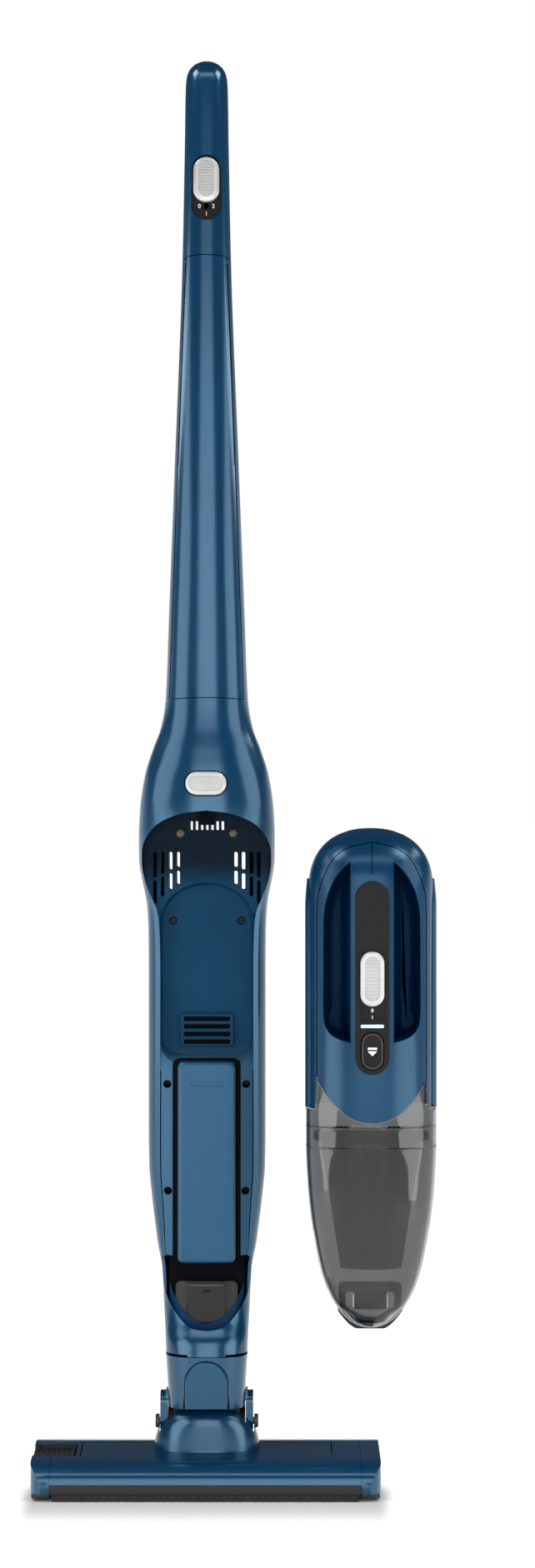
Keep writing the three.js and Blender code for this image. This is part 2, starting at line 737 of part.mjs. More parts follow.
function makeHandShells() {
  const shell = handOuter.subtract(handInner).intersect(aboveCupSeam(0));
  const hump = prismY(roundedRect(-33, 33, 374, 476, 14), -6, 13, 4, 2).subtract(
    prismY(roundedRect(-30.6, 30.6, 376.4, 473.6, 12), -30, 10.6, 4),
  );
  const humpHole = prismY(roundedRect(-30.6, 30.6, 376.4, 473.6, 12), -10, 8, 4);
  const coverZone = prismY(coverOutline(0), -120, -44, 2);
  const housing = shell
    .subtract(prismY(coverOutline(GAP), -120, -44 + GAP, 2))
    .subtract(humpHole)
    .add(hump);
  add("handheld_housing", housing, "blue", HAND_X);

  const tubs = joined(...mirrored(prismY(scoopOutline(2.2), -84, -43, 4))).intersect(
    handOuter.intersect(prismY(coverOutline(-0.2), -120, -43, 2)),
  );
  const scoops = joined(...mirrored(prismY(scoopOutline(0), -120, -45.5, 4)));
  const eject = prismY(roundedRect(-9.4, 9.4, 342.6, 373.2, 9.3), -120, -60, 6);
  const cover = shell.intersect(coverZone).add(tubs).subtract(scoops).subtract(eject);
  add("handheld_cover", cover, "blue", HAND_X);

  for (const [side, sign] of [["left", -1], ["right", 1]]) {
    const strip = ringLoft([
      [311, 52.3, -66, -22],
      [340, 52.3, -66, -22],
      [470, 52.3, -64, -20],
      [492, 50.8, -60, -20],
    ]).intersect(box(sign > 0 ? 46.2 : -60, sign > 0 ? 60 : -46.2, -59, -23, 311.2, 492));
    add(`side_strip_${side}`, strip.subtract(ringLoft(HAND_RINGS, -GAP)), "navy", HAND_X);
  }
}

function makeHandControls() {
  const strip = prismY(roundedRect(-13.4, 13.4, 339.4, 491, 13.3), -83, -80.4, 6);
  const recess = prismY(roundedRect(-10.2, 10.2, 382, 437, 4), -90, -82, 3);
  const stemSlot = box(-1.8, 1.8, -90, -60, 400, 428);
  const ledHole = box(-9.4, 9.4, -90, -60, 375.8, 379);
  const ejectHole = prismY(roundedRect(-9.3, 9.3, 342.8, 373, 9.2), -90, -60, 6);
  add("control_strip", strip.subtract(joined(recess, stemSlot, ledHole, ejectHole)), "black", HAND_X);
  const knob = prismY(roundedRect(-9.4, 9.4, 393, 436, 3), -86.5, -82.3, 4, 1);
  const ribs = Array.from({ length: 7 }, (_, i) =>
    box(-4.8, 4.8, -90, -86, 402 + i * 4, 403.6 + i * 4),
  );
  add("handheld_switch_knob", knob.subtract(joined(...ribs)), "silver", HAND_X);
  add("led_window", box(-9.1, 9.1, -83.2, -80.9, 376.1, 378.7), "glow", HAND_X);
  const eject = prismY(roundedRect(-9, 9, 343.1, 372.6, 8.9), -84, -74, 6, 0.8);
  add("container_release_button", eject, "black", HAND_X);
}

function makeHandInside() {
  const y = HAND_AXIS_Y;
  const motor = rodZ(0, y, 404, 462, 18.5, 9).add(rodZ(0, y, 396, 470, 7, 6));
  add("suction_motor", motor, "metal", HAND_X);
  const cells = [
    [y - 12, 483],
    [y + 4.6, 483],
    [y - 4, 500.4],
  ];
  cells.forEach(([cy, cz], i) => add(`battery_cell_${i + 1}`, rodX(-32.5, 32.5, cy, cz, 7.9), "red", HAND_X));
  add("circuit_board", box(-28, 28, -41, -39.4, 352, 390), "board", HAND_X);
}

function makeContainer() {
  const ringGap = 0.8;
  const cavity = ringLoft(
    CUP_RINGS.map(([z, ...rest]) => [z + (z < 150 ? CUP_WALL : 0), ...rest]),
    CUP_WALL,
  ).add(ringLoft([[320, 49.8, -78, -16], [360, 49.8, -78, -16]], CUP_WALL));
  const above = aboveCupSeam(-ringGap);
  const inlet = prismY(roundedRect(-14, 14, 147, 161, 3), -30, -5, 3);
  const cup = cupOuter.subtract(cavity).subtract(above).subtract(inlet);
  add("dust_container", cup, "smoke", HAND_X);

  const mouthZone = prismY(notchOutline(1.2), -60, 0, 2);
  const mouthHole = prismY(roundedRect(-20, 20, 135, 161, 3), -40, -5, 3).intersect(
    prismY(notchOutline(4.2), -60, 0, 2),
  );
  const mouth = prismY(roundedRect(-25.8, 25.8, 132, 168, 4), -32, -11.5, 3)
    .intersect(mouthZone)
    .subtract(joined(ringLoft(CUP_RINGS, -GAP), mouthHole, box(-30, 30, -40, -27, 120, 170)));
  add("inlet_mouth", mouth, "brown", HAND_X);
  add("inlet_flap", box(-13, 13, -32.4, -31.2, 148, 164), "black", HAND_X);

  const middle = -47.5;
  const oval = (z, half, depth) => [z, half, middle - depth, middle + depth];
  const frame = ringLoft([oval(286, 46, 28), oval(292, 46, 28)]).subtract(
    ringLoft([oval(280, 31, 20), oval(300, 31, 20)]),
  );
  add("filter_frame", frame, "black", HAND_X);
  const pleats = 14;
  const pleatRing = (z, half, depth) =>
    Array.from({ length: pleats * 2 }, (_, i) => {
      const angle = (i / (pleats * 2)) * 2 * Math.PI;
      const out = i % 2 ? 1 : 0.88;
      return new THREE.Vector3(half * out * Math.cos(angle), middle + depth * out * Math.sin(angle), z);
    });
  const filter = loft([pleatRing(184, 24, 13), pleatRing(285.6, 40, 25)]).subtract(
    ringLoft([oval(188, 18, 9), oval(300, 30, 18)]),
  );
  add("pleated_filter", filter, "filter", HAND_X);
}

makeNeckTop();
makeCoupling();
makeDock();
makeTube();
makeHandle();
makeNeck();
makeHead();
makeBrush();
makeWheels();
makeHandShells();
makeHandControls();
makeHandInside();
makeContainer();

export default vacuum;
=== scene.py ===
"""Looks of a two-in-one cordless stick vacuum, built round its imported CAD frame.

Lengths in the tables and calls below are millimetres; mesh_object() turns them into metres.
"""

import json
import math

import bmesh
import bpy
import numpy as np
from mathutils import Matrix, Vector

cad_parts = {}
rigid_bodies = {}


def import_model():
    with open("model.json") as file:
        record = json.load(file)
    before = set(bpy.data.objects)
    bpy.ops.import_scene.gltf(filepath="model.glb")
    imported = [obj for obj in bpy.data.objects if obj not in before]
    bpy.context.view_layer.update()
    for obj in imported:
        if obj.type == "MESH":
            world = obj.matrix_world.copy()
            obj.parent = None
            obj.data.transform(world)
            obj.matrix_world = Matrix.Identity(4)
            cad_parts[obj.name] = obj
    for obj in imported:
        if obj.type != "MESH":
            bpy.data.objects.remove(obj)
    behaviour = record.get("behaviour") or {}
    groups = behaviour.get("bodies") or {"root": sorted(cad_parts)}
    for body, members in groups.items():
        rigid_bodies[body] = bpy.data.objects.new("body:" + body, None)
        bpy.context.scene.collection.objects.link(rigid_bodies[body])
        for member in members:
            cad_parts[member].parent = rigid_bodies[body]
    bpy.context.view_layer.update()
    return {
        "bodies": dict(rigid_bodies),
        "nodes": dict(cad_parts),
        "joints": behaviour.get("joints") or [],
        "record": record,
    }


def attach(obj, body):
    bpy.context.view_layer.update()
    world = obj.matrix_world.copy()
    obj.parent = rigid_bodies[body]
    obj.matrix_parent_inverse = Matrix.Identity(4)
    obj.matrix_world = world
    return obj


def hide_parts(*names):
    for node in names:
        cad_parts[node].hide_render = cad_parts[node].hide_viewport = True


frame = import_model()

MM = 0.001
WALL = 2.4
AROUND = 88  # points round a loft ring
SQUARENESS = 2.6  # exponent of the superellipse that the rings follow
SHARP = math.radians(32)

# ------------------------------------------------------------------ camera and stage
CAMERA_X = 49
CAMERA_Z = 567
CAMERA_DISTANCE = 2700
VIEW_HEIGHT = 1265.2  # what the frame covers at the stick, top to bottom
BLUE_SHEEN = (0.42, 0.74, 1.0)


def make_camera():
    data = bpy.data.cameras.new("camera")
    data.sensor_width = 36
    data.lens = 36 * CAMERA_DISTANCE / VIEW_HEIGHT
    data.clip_end = 50
    camera = bpy.data.objects.new("camera", data)
    camera.location = Vector((CAMERA_X, -CAMERA_DISTANCE, CAMERA_Z)) * MM
    camera.rotation_euler = (math.radians(90), 0, 0)
    bpy.context.scene.collection.objects.link(camera)
    bpy.context.scene.camera = camera


def area_light(name, place, aim, size, power):
    data = bpy.data.lights.new(name, "AREA")
    data.shape = "RECTANGLE"
    data.size, data.size_y = size
    data.energy = power
    light = bpy.data.objects.new(name, data)
    light.visible_camera = False
    light.location = place
    light.rotation_euler = (Vector(aim) - Vector(place)).to_track_quat("-Z", "Z").to_euler()
    bpy.context.scene.collection.objects.link(light)


def smooth_range(nodes, links, source, taken, given):
    fade = nodes.new("ShaderNodeMapRange")
    fade.interpolation_type = "SMOOTHSTEP"
    fade.inputs["From Min"].default_value, fade.inputs["From Max"].default_value = taken
    fade.inputs["To Min"].default_value, fade.inputs["To Max"].default_value = given
    links.new(source, fade.inputs["Value"])
    return fade.outputs["Result"]


def make_stage():
    far = 40000
    floor = mesh_object(
        "floor",
        [(-far, -far, 0), (far, -far, 0), (far, far, 0), (-far, far, 0)],
        [(0, 1, 2, 3)],
    )
    floor.data.materials.append(floor_material())
    world = bpy.data.worlds.new("studio")
    world.use_nodes = True
    nodes, links = world.node_tree.nodes, world.node_tree.links
    nodes.clear()
    path = nodes.new("ShaderNodeLightPath")
    seen = nodes.new("ShaderNodeBackground")
    seen.inputs["Color"].default_value = (1, 1, 1, 1)
    seen.inputs["Strength"].default_value = 1.0
    around = nodes.new("ShaderNodeBackground")
    around.inputs["Color"].default_value = (0.84, 0.93, 1.0, 1)
    direction = nodes.new("ShaderNodeTexCoord")
    parts = nodes.new("ShaderNodeSeparateXYZ")
    links.new(direction.outputs["Generated"], parts.inputs[0])
    behind = smooth_range(nodes, links, parts.outputs["Y"], (0.1, 0.8), (0.0, 0.8))
    low = smooth_range(nodes, links, parts.outputs["Z"], (0.04, 0.2), (1.0, 0.0))
    glow = nodes.new("ShaderNodeMath")
    glow.operation = "MULTIPLY_ADD"
    glow.inputs[2].default_value = 0.09
    links.new(behind, glow.inputs[0])
    links.new(low, glow.inputs[1])
    links.new(glow.outputs[0], around.inputs["Strength"])
    mix = nodes.new("ShaderNodeMixShader")
    out = nodes.new("ShaderNodeOutputWorld")
    links.new(path.outputs["Is Camera Ray"], mix.inputs[0])
    links.new(around.outputs[0], mix.inputs[1])
    links.new(seen.outputs[0], mix.inputs[2])
    links.new(mix.outputs[0], out.inputs[0])
    bpy.context.scene.world = world
    bpy.context.scene.view_settings.view_transform = "Standard"
    area_light("front_soft", (0.05, -3.8, 0.85), (0.05, 0, 0.7), (1.5, 1.7), 26)
    area_light("front_high", (0.05, -2.3, 2.9), (0.05, 0, 0.2), (2.4, 0.6), 16)
    for side, x in ((-1, 0.0), (1, 0.12)):
        area_light("low", (x + side * 0.5, -0.55, 0.24), (x, 0, 0.24), (0.5, 0.45), 2.6)
        area_light("shoulder", (x + side * 0.55, -0.3, 0.74), (x, 0, 0.6), (0.5, 0.5), 2.0)
        area_light("edge", (x + side * 0.6, 0.14, 1.0), (x, 0, 1.0), (0.15, 0.55), 1.1)
        area_light("dome", (x + side * 0.9, -0.5, 2.0), (x, 0, 0.5), (0.6, 0.7), 13)


# ------------------------------------------------------------------ materials
def new_material(name):
    material = bpy.data.materials.new(name)
    material.use_nodes = True
    tree = material.node_tree
    shader = tree.nodes["Principled BSDF"]
    return material, tree, shader


def noise_node(tree, scale, detail=3.0, stretch=(1, 1, 1)):
    place = tree.nodes.new("ShaderNodeTexCoord")
    scaled = tree.nodes.new("ShaderNodeMapping")
    scaled.inputs["Scale"].default_value = stretch
    noise = tree.nodes.new("ShaderNodeTexNoise")
    noise.inputs["Scale"].default_value = scale
    noise.inputs["Detail"].default_value = detail
    tree.links.new(place.outputs["Object"], scaled.inputs["Vector"])
    tree.links.new(scaled.outputs["Vector"], noise.inputs["Vector"])
    return noise


def ramp_node(tree, source, low, high, positions=(0.35, 0.65)):
    ramp = tree.nodes.new("ShaderNodeValToRGB")
    ramp.color_ramp.elements[0].position = positions[0]
    ramp.color_ramp.elements[1].position = positions[1]
    ramp.color_ramp.elements[0].color = (*low, 1) if isinstance(low, tuple) else (low, low, low, 1)
    ramp.color_ramp.elements[1].color = (*high, 1) if isinstance(high, tuple) else (high, high, high, 1)
    tree.links.new(source, ramp.inputs["Fac"])
    return ramp.outputs["Color"]


def plastic(name, colour, rough, grain=900.0, bump=0.02, spread=0.06, gloss=0.5, sheen=(1, 1, 1), metal=0.0):
    material, tree, shader = new_material(name)
    cloud = noise_node(tree, 14.0)
    low = tuple(c * (1 - spread) for c in colour)
    high = tuple(min(c * (1 + spread), 1) for c in colour)
    tree.links.new(ramp_node(tree, cloud.outputs["Fac"], low, high), shader.inputs["Base Color"])
    fine = noise_node(tree, grain, 2.0)
    tree.links.new(
        ramp_node(tree, fine.outputs["Fac"], rough * 0.85, min(rough * 1.2, 1.0)),
        shader.inputs["Roughness"],
    )
    relief = tree.nodes.new("ShaderNodeBump")
    relief.inputs["Strength"].default_value = bump
    relief.inputs["Distance"].default_value = 0.0002
    tree.links.new(fine.outputs["Fac"], relief.inputs["Height"])
    tree.links.new(relief.outputs["Normal"], shader.inputs["Normal"])
    shader.inputs["Specular IOR Level"].default_value = gloss
    shader.inputs["Specular Tint"].default_value = (*sheen, 1)
    shader.inputs["Metallic"].default_value = metal
    return material


def bay_material():
    """Satin blue of the bay with painted shade: paler beside the panel, a deeper painted shade above it in
    the pocket, and a near-black painted shadow under the bowl's roof.
    """
    material = plastic("bay_blue_painted_shade", (0.002, 0.029, 0.068), 0.34, bump=0.01, gloss=0.12, sheen=BLUE_SHEEN)
    tree = material.node_tree
    shader = tree.nodes["Principled BSDF"]
    place = tree.nodes.new("ShaderNodeTexCoord")
    parts = tree.nodes.new("ShaderNodeSeparateXYZ")
    tree.links.new(place.outputs["Object"], parts.inputs[0])
    colour = shader.inputs["Base Color"].links[0].from_socket
    # Painted shade by height: pale below 0.335 m, the deeper base blue from 0.36 m up, and a near-black
    # painted shadow from 0.48 to 0.51 m up.
    pale = (0.034, 0.09, 0.16, 1)
    painted_shadow = (0.0004, 0.0012, 0.006, 1)
    for heights, amounts, tone in (((0.335, 0.36), (1.0, 0.0), pale), ((0.478, 0.506), (0.0, 1.0), painted_shadow)):
        mix = tree.nodes.new("ShaderNodeMix")
        mix.data_type = "RGBA"
        mix.inputs["B"].default_value = tone
        tree.links.new(
            smooth_range(tree.nodes, tree.links, parts.outputs["Z"], heights, amounts),
            mix.inputs["Factor"],
        )
        tree.links.new(colour, mix.inputs["A"])
        colour = mix.outputs["Result"]
    tree.links.new(colour, shader.inputs["Base Color"])
    return material


def smoke_material():
    material, tree, shader = new_material("smoke_clear")
    shader.inputs["Base Color"].default_value = (0.27, 0.273, 0.275, 1)
    shader.inputs["Roughness"].default_value = 0.05
    shader.inputs["IOR"].default_value = 1.45
    shader.inputs["Specular IOR Level"].default_value = 0.1
    shader.inputs["Transmission Weight"].default_value = 1.0
    film = noise_node(tree, 30.0)
    tree.links.new(ramp_node(tree, film.outputs["Fac"], 0.02, 0.07), shader.inputs["Roughness"])
    return material


def floor_material():
    material, tree, shader = new_material("pale_floor")
    tree.links.new(
        ramp_node(tree, noise_node(tree, 3.0).outputs["Fac"], (0.5, 0.5, 0.5), (0.52, 0.52, 0.52)),
        shader.inputs["Base Color"],
    )
    shader.inputs["Roughness"].default_value = 0.6
    shader.inputs["Specular IOR Level"].default_value = 0.1
    shader.inputs["Emission Color"].default_value = (1, 1, 1, 1)
    place = tree.nodes.new("ShaderNodeTexCoord")
    parts = tree.nodes.new("ShaderNodeSeparateXYZ")
    tree.links.new(place.outputs["Object"], parts.inputs[0])
    # The emission drops in a patch in front of and under the floor head's front edge: a painted contact
    # shadow on the floor.
    beside = tree.nodes.new("ShaderNodeMath")
    beside.operation = "ABSOLUTE"
    tree.links.new(parts.outputs["X"], beside.inputs[0])
    across = smooth_range(tree.nodes, tree.links, beside.outputs[0], (0.134, 0.16), (1.0, 0.0))
    ahead = smooth_range(tree.nodes, tree.links, parts.outputs["Y"], (-0.22, -0.06), (0.0, 1.0))
    under = smooth_range(tree.nodes, tree.links, parts.outputs["Y"], (-0.03, 0.05), (1.0, 0.0))
    painted_floor_shadow = across
    for factor in (ahead, under):
        product = tree.nodes.new("ShaderNodeMath")
        product.operation = "MULTIPLY"
        tree.links.new(painted_floor_shadow, product.inputs[0])
        tree.links.new(factor, product.inputs[1])
        painted_floor_shadow = product.outputs[0]
    lit = tree.nodes.new("ShaderNodeMath")
    lit.operation = "SUBTRACT"
    lit.inputs[0].default_value = 1.02
    tree.links.new(painted_floor_shadow, lit.inputs[1])
    tree.links.new(lit.outputs[0], shader.inputs["Emission Strength"])
    return material


def glow_material():
    material, tree, shader = new_material("light_window")
    tree.links.new(
        ramp_node(tree, noise_node(tree, 200.0).outputs["Fac"], (0.34, 0.6, 0.74), (0.42, 0.68, 0.8)),
        shader.inputs["Base Color"],
    )
    shader.inputs["Roughness"].default_value = 0.3
    shader.inputs["Emission Color"].default_value = (0.4, 0.7, 0.85, 1)
    shader.inputs["Emission Strength"].default_value = 0.25
    return material


def make_materials():
    return {
        "blue": plastic("blue_plastic", (0.0008, 0.022, 0.058), 0.2, bump=0.005, gloss=1.0, sheen=BLUE_SHEEN),
        "hand_blue": plastic(
            "hand_blue", (0.0008, 0.022, 0.058), 0.24, bump=0.005, gloss=0.5, sheen=BLUE_SHEEN
        ),
        "blue_satin": plastic(
            "blue_satin", (0.003, 0.034, 0.08), 0.34, bump=0.01, gloss=0.7, sheen=BLUE_SHEEN
        ),
        "navy": plastic("navy_plastic", (0.0006, 0.016, 0.054), 0.5, gloss=0.15, sheen=BLUE_SHEEN),
        "bay": bay_material(),
        "black": plastic("black_plastic", (0.004, 0.0042, 0.004), 0.35, bump=0.03, gloss=0.14),
        # Near-black and nearly matt: the sheets in gaps and openings use it as painted shadow, and the dock
        # latch uses it too.
        "void": plastic("void_black", (0.002, 0.002, 0.003), 0.8, gloss=0.05),
        "silver": plastic("silver_plastic", (0.42, 0.42, 0.41), 0.34, 60, 0.0, 0.01, metal=0.5),
        "silver_pad": plastic("silver_pad", (0.34, 0.34, 0.33), 0.42, 60, 0.0, 0.01, metal=0.3),
        "grey": plastic("grey_plastic", (0.03, 0.029, 0.027), 0.5, bump=0.1),
        "rubber": plastic("grey_rubber", (0.017, 0.016, 0.015), 0.55, bump=0.1, gloss=0.3),
        "black_rubber": plastic("black_rubber", (0.012, 0.012, 0.012), 0.7, bump=0.2),
        "brown": plastic("brown_plastic", (0.008, 0.0075, 0.007), 0.42, bump=0.05, gloss=0.25),
        "bristle": plastic("bristle", (0.012, 0.012, 0.012), 0.6, grain=2500, bump=0.5),
        "filter": plastic("filter_cloth", (0.035, 0.035, 0.035), 0.5, grain=1800, bump=0.4),
        "steel": plastic("motor_steel", (0.5, 0.5, 0.5), 0.3, metal=1.0),
        "brass": plastic("contact_brass", (0.07, 0.06, 0.035), 0.4, metal=0.6),
        "white": plastic("print_white", (0.75, 0.76, 0.76), 0.5),
        "board": plastic("circuit", (0.01, 0.09, 0.05), 0.4),
        "smoke": smoke_material(),
        "glow": glow_material(),
    }


CAD_FINISH = {
    "blue_plastic": "blue",
    "navy_plastic": "navy",
    "black_plastic": "black",
    "silver_plastic": "silver",
    "grey_plastic": "grey",
    "grey_rubber": "rubber",
    "black_rubber": "black_rubber",
    "brown_plastic": "brown",
    "bristle": "bristle",
    "smoke_clear": "smoke",
    "filter_cloth": "filter",
    "motor_steel": "steel",
    "contact_brass": "brass",
    "light_window": "glow",
    "circuit": "board",
}


def finish_cad_nodes(materials):
    slots = {part["node"]: part["material_slot"] for part in frame["record"]["subparts"]}
    for name, obj in frame["nodes"].items():
        obj.data.materials.clear()
        obj.data.materials.append(materials[CAD_FINISH[slots[name]]])


# ------------------------------------------------------------------ mesh helpers
def mesh_object(name, points, faces):
    mesh = bpy.data.meshes.new(name)
    mesh.from_pydata([tuple(MM * c for c in p) for p in points], [], faces)
    mesh.update()
    obj = bpy.data.objects.new(name, mesh)
    bpy.context.scene.collection.objects.link(obj)
    return obj


def loft(name, rings):
    """A closed solid through rings that all have the same number of points."""
    count = len(rings[0])
    points = [p for ring in rings for p in ring]
    faces = []
    for level in range(len(rings) - 1):
        base = level * count
        for i in range(count):
            j = (i + 1) % count
            faces.append((base + i, base + j, base + count + j, base + count + i))
    faces.append(tuple(range(count - 1, -1, -1)))
    faces.append(tuple(range(len(points) - count, len(points))))
    obj = mesh_object(name, points, faces)
    outward(obj)
    return obj


def outward(obj):
    bm = bmesh.new()
    bm.from_mesh(obj.data)
    bmesh.ops.recalc_face_normals(bm, faces=bm.faces)
    bm.to_mesh(obj.data)
    bm.free()


def pchip(xs, ys, x):
    """Smooth curve through the points that never overshoots them."""
    xs, ys = np.asarray(xs, float), np.asarray(ys, float)
    gaps = np.diff(xs)
    slopes = np.diff(ys) / gaps
    tangents = np.zeros(len(xs))
    tangents[0], tangents[-1] = slopes[0], slopes[-1]
    for i in range(1, len(xs) - 1):
        if slopes[i - 1] * slopes[i] > 0:
            before, after = 2 * gaps[i] + gaps[i - 1], gaps[i] + 2 * gaps[i - 1]
            tangents[i] = (before + after) / (before / slopes[i - 1] + after / slopes[i])
    k = np.clip(np.searchsorted(xs, x) - 1, 0, len(xs) - 2)
    t = (x - xs[k]) / gaps[k]
    return (
        (1 + 2 * t) * (1 - t) ** 2 * ys[k]
        + t * (1 - t) ** 2 * gaps[k] * tangents[k]
        + t * t * (3 - 2 * t) * ys[k + 1]
        + t * t * (t - 1) * gaps[k] * tangents[k + 1]
    )


def superellipse(z, half, middle, depth, front_depth=None, power=SQUARENESS):
    ring = []
    for i in range(AROUND):
        angle = 2 * math.pi * i / AROUND
        c, s = math.cos(angle), math.sin(angle)
        x = half * math.copysign(abs(c) ** (2 / power), c)
        reach = depth if s > 0 or front_depth is None else front_depth
        y = middle + reach * math.copysign(abs(s) ** (2 / power), s)
        ring.append((x, y, z))
    return ring


def body_loft(name, rows, inset=0.0, step=3.0):
    """A smooth body through rows of height, half width, front, rear and where it is widest."""
    table = np.array([row if len(row) == 5 else (*row, (row[2] + row[3]) / 2) for row in rows], float)
    zs, half, middle = table[:, 0], table[:, 1], table[:, 4]
    before, behind = middle - table[:, 2], table[:, 3] - middle
    low, high = zs[0], zs[-1]
    near = [0.05, 0.25, 0.6, 1.2, 2.0]
    levels = set(np.arange(low + 3, high - 3, step)) | {low, high}
    levels |= {low + n for n in near} | {high - n for n in near}
    rings = []
    for z in sorted(levels):
        w, f, r = (math.sqrt(max(pchip(zs, size**2, z), 0)) - inset for size in (half, before, behind))
        if min(w, f, r) > 0.02:
            rings.append(superellipse(z, w, pchip(zs, middle, z), r, f))
    return loft(name, rings)


def extrude(name, outline, low, high, place):
    count = len(outline)
    points = [place(a, b, low) for a, b in outline] + [place(a, b, high) for a, b in outline]
    faces = [(i, (i + 1) % count, count + (i + 1) % count, count + i) for i in range(count)]
    faces += [tuple(range(count - 1, -1, -1)), tuple(range(count, 2 * count))]
    obj = mesh_object(name, points, faces)
    outward(obj)
    return obj


def prism_y(name, outline, y0, y1):
    return extrude(name, outline, y0, y1, lambda x, z, y: (x, y, z))


def prism_x(name, outline, x0, x1):
    return extrude(name, outline, x0, x1, lambda y, z, x: (x, y, z))


def prism_z(name, outline, z0, z1):
    return extrude(name, outline, z0, z1, lambda x, y, z: (x, y, z))


def block(name, x0, x1, y0, y1, z0, z1):
    return prism_z(name, [(x0, y0), (x1, y0), (x1, y1), (x0, y1)], z0, z1)


def round_rect(x0, x1, z0, z1, radius, steps=8):
    radius = max(min(radius, (x1 - x0) / 2 - 0.001, (z1 - z0) / 2 - 0.001), 0.001)
    corners = [
        (x1 - radius, z1 - radius),
        (x0 + radius, z1 - radius),
        (x0 + radius, z0 + radius),
        (x1 - radius, z0 + radius),
    ]
    points = []
    for quarter, (cx, cz) in enumerate(corners):
        for i in range(steps + 1):
            angle = (quarter + i / steps) * math.pi / 2
            points.append((cx + radius * math.cos(angle), cz + radius * math.sin(angle)))
    return points


def circle(x, z, radius, steps=32):
    return [
        (x + radius * math.cos(2 * math.pi * i / steps), z + radius * math.sin(2 * math.pi * i / steps))
        for i in range(steps)
    ]


def spline(points, steps=8):
    """A Catmull-Rom curve through the points."""
    dots = [Vector(p) for p in points]
    dots = [2 * dots[0] - dots[1], *dots, 2 * dots[-1] - dots[-2]]
    out = []
    for i in range(1, len(dots) - 2):
        a, b, c, d = dots[i - 1 : i + 3]
        for k in range(steps):
            t = k / steps
            out.append(tuple(0.5 * (
                2 * b + (c - a) * t + (2 * a - 5 * b + 4 * c - d) * t**2 + (3 * b - a - 3 * c + d) * t**3
            )))
    return out + [tuple(dots[-2])]


def mirror_outline(right):
    """The whole outline from its right half, which runs from the middle bottom to the middle top."""
    return list(right) + [(-x, z) for x, z in reversed(right) if abs(x) > 1e-6]


def pad(name, x0, x1, z0, z1, radius, back, face, edge=1.0, crown=0.0, steps=8):
    """A flat button or panel in x and z: rounded front edge, and a face that can bulge."""
    sign = math.copysign(1, face - back)
    rings = []

    def ring(inset, y):
        outline = round_rect(x0 + inset, x1 - inset, z0 + inset, z1 - inset, radius - inset, steps)
        rings.append([(x, y, z) for x, z in outline])

    ring(0, back)
    ring(0, face - sign * edge)
    for i in range(1, 5):
        angle = i / 4 * math.pi / 2
        ring(edge * (1 - math.cos(angle)), face - sign * edge * (1 - math.sin(angle)))
    room = min(x1 - x0, z1 - z0) / 2 - edge
    if crown:
        for t in (0.15, 0.35, 0.6, 0.85):
            ring(edge + t * room, face + sign * crown * (1 - (1 - t) ** 2))
    return loft(name, rings)


def cut(obj, *tools, operation="DIFFERENCE"):
    """Applies boolean tools to obj, and removes the tools."""
    for tool in tools:
        modifier = obj.modifiers.new("cut", "BOOLEAN")
        modifier.operation = operation
        modifier.solver = "MANIFOLD"
        modifier.object = tool
        settle(obj)
        bpy.data.objects.remove(tool)
    return obj


def join(obj, *tools):
    return cut(obj, *tools, operation="UNION")


def keep(obj, tool):
    return cut(obj, tool, operation="INTERSECT")


def settle(obj):
    graph = bpy.context.evaluated_depsgraph_get()
    mesh = bpy.data.meshes.new_from_object(obj.evaluated_get(graph))
    obj.modifiers.clear()
    obj.data = mesh


def copy_of(obj, name):
    twin = bpy.data.objects.new(name, obj.data.copy())
    bpy.context.scene.collection.objects.link(twin)
    return twin


def moved(obj, dx=0, dy=0, dz=0):
    obj.data.transform(Matrix.Translation(Vector((dx, dy, dz)) * MM))
    return obj


def piece(obj, body, material, *nodes, slot=None, bevel=0.0):
    """Rides a finished piece on its body, in place of the CAD nodes that it stands for."""
    obj.data.materials.clear()
    obj.data.materials.append(MATERIALS[material])
    if bevel:
        rounding = obj.modifiers.new("edge", "BEVEL")
        rounding.width = bevel * MM
        rounding.segments = 2
        rounding.limit_method = "ANGLE"
        rounding.angle_limit = math.radians(45)
        settle(obj)
        obj.data.materials.clear()
        obj.data.materials.append(MATERIALS[material])
    obj.data.shade_smooth()
    obj.data.set_sharp_from_angle(angle=SHARP)
    normals = obj.modifiers.new("normals", "WEIGHTED_NORMAL")
    normals.keep_sharp = True
    settle(obj)
    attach(obj, body)
    if nodes:
        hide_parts(*nodes)
    return obj


# ------------------------------------------------------------------ stick
STICK_ROWS = [
    (108.6, 33.1, -25, 31),
    (120, 33.5, -23, 32),
    (132, 34.1, -17, 33),
    (146, 34.9, -13, 34),
    (176, 36.4, -11.5, 38),
    (194, 40.0, -10, 41),
    (207, 41.8, -9, 42),
    (232, 44.9, -8.2, 44),
    (258, 47.2, -8, 45),
    (290, 47.6, -8, 46),
    (420, 47.6, -8, 47),
    (450, 47.9, -8.6, 48),
    (465, 48.6, -10, 48),
    (476, 50.0, -16, 48.4),
    (492, 53.1, -28, 49),
    (505, 54.9, -35.5, 49),
    (520, 55.1, -38, 49),
    (546, 54, -38.5, 48.5),
    (573, 50.2, -37, 47),
    (593, 44.2, -34.5, 44.5),
    (612, 37.2, -31.6, 42),
    (630, 33.8, -29.6, 40),
    (648, 32.6, -28.6, 38.6),
    (700, 30.7, -27.5, 36),
    (810, 26.4, -25, 29.5),
    (988, 19.6, -21, 23),
    (1083, 17.7, -19, 21),
    (1130, 16.9, -17.4, 19.4),
    (1138, 15.9, -16.2, 18.2),
    (1145, 12.0, -11.8, 13.8),
    (1149, 5.2, -4.9, 6.9),
    (1150, 0.05, 0.95, 1.05),
]
TUBE_SEAM = (630.5, 5.5)
HANDLE_SEAM = (986.6, 4.4)
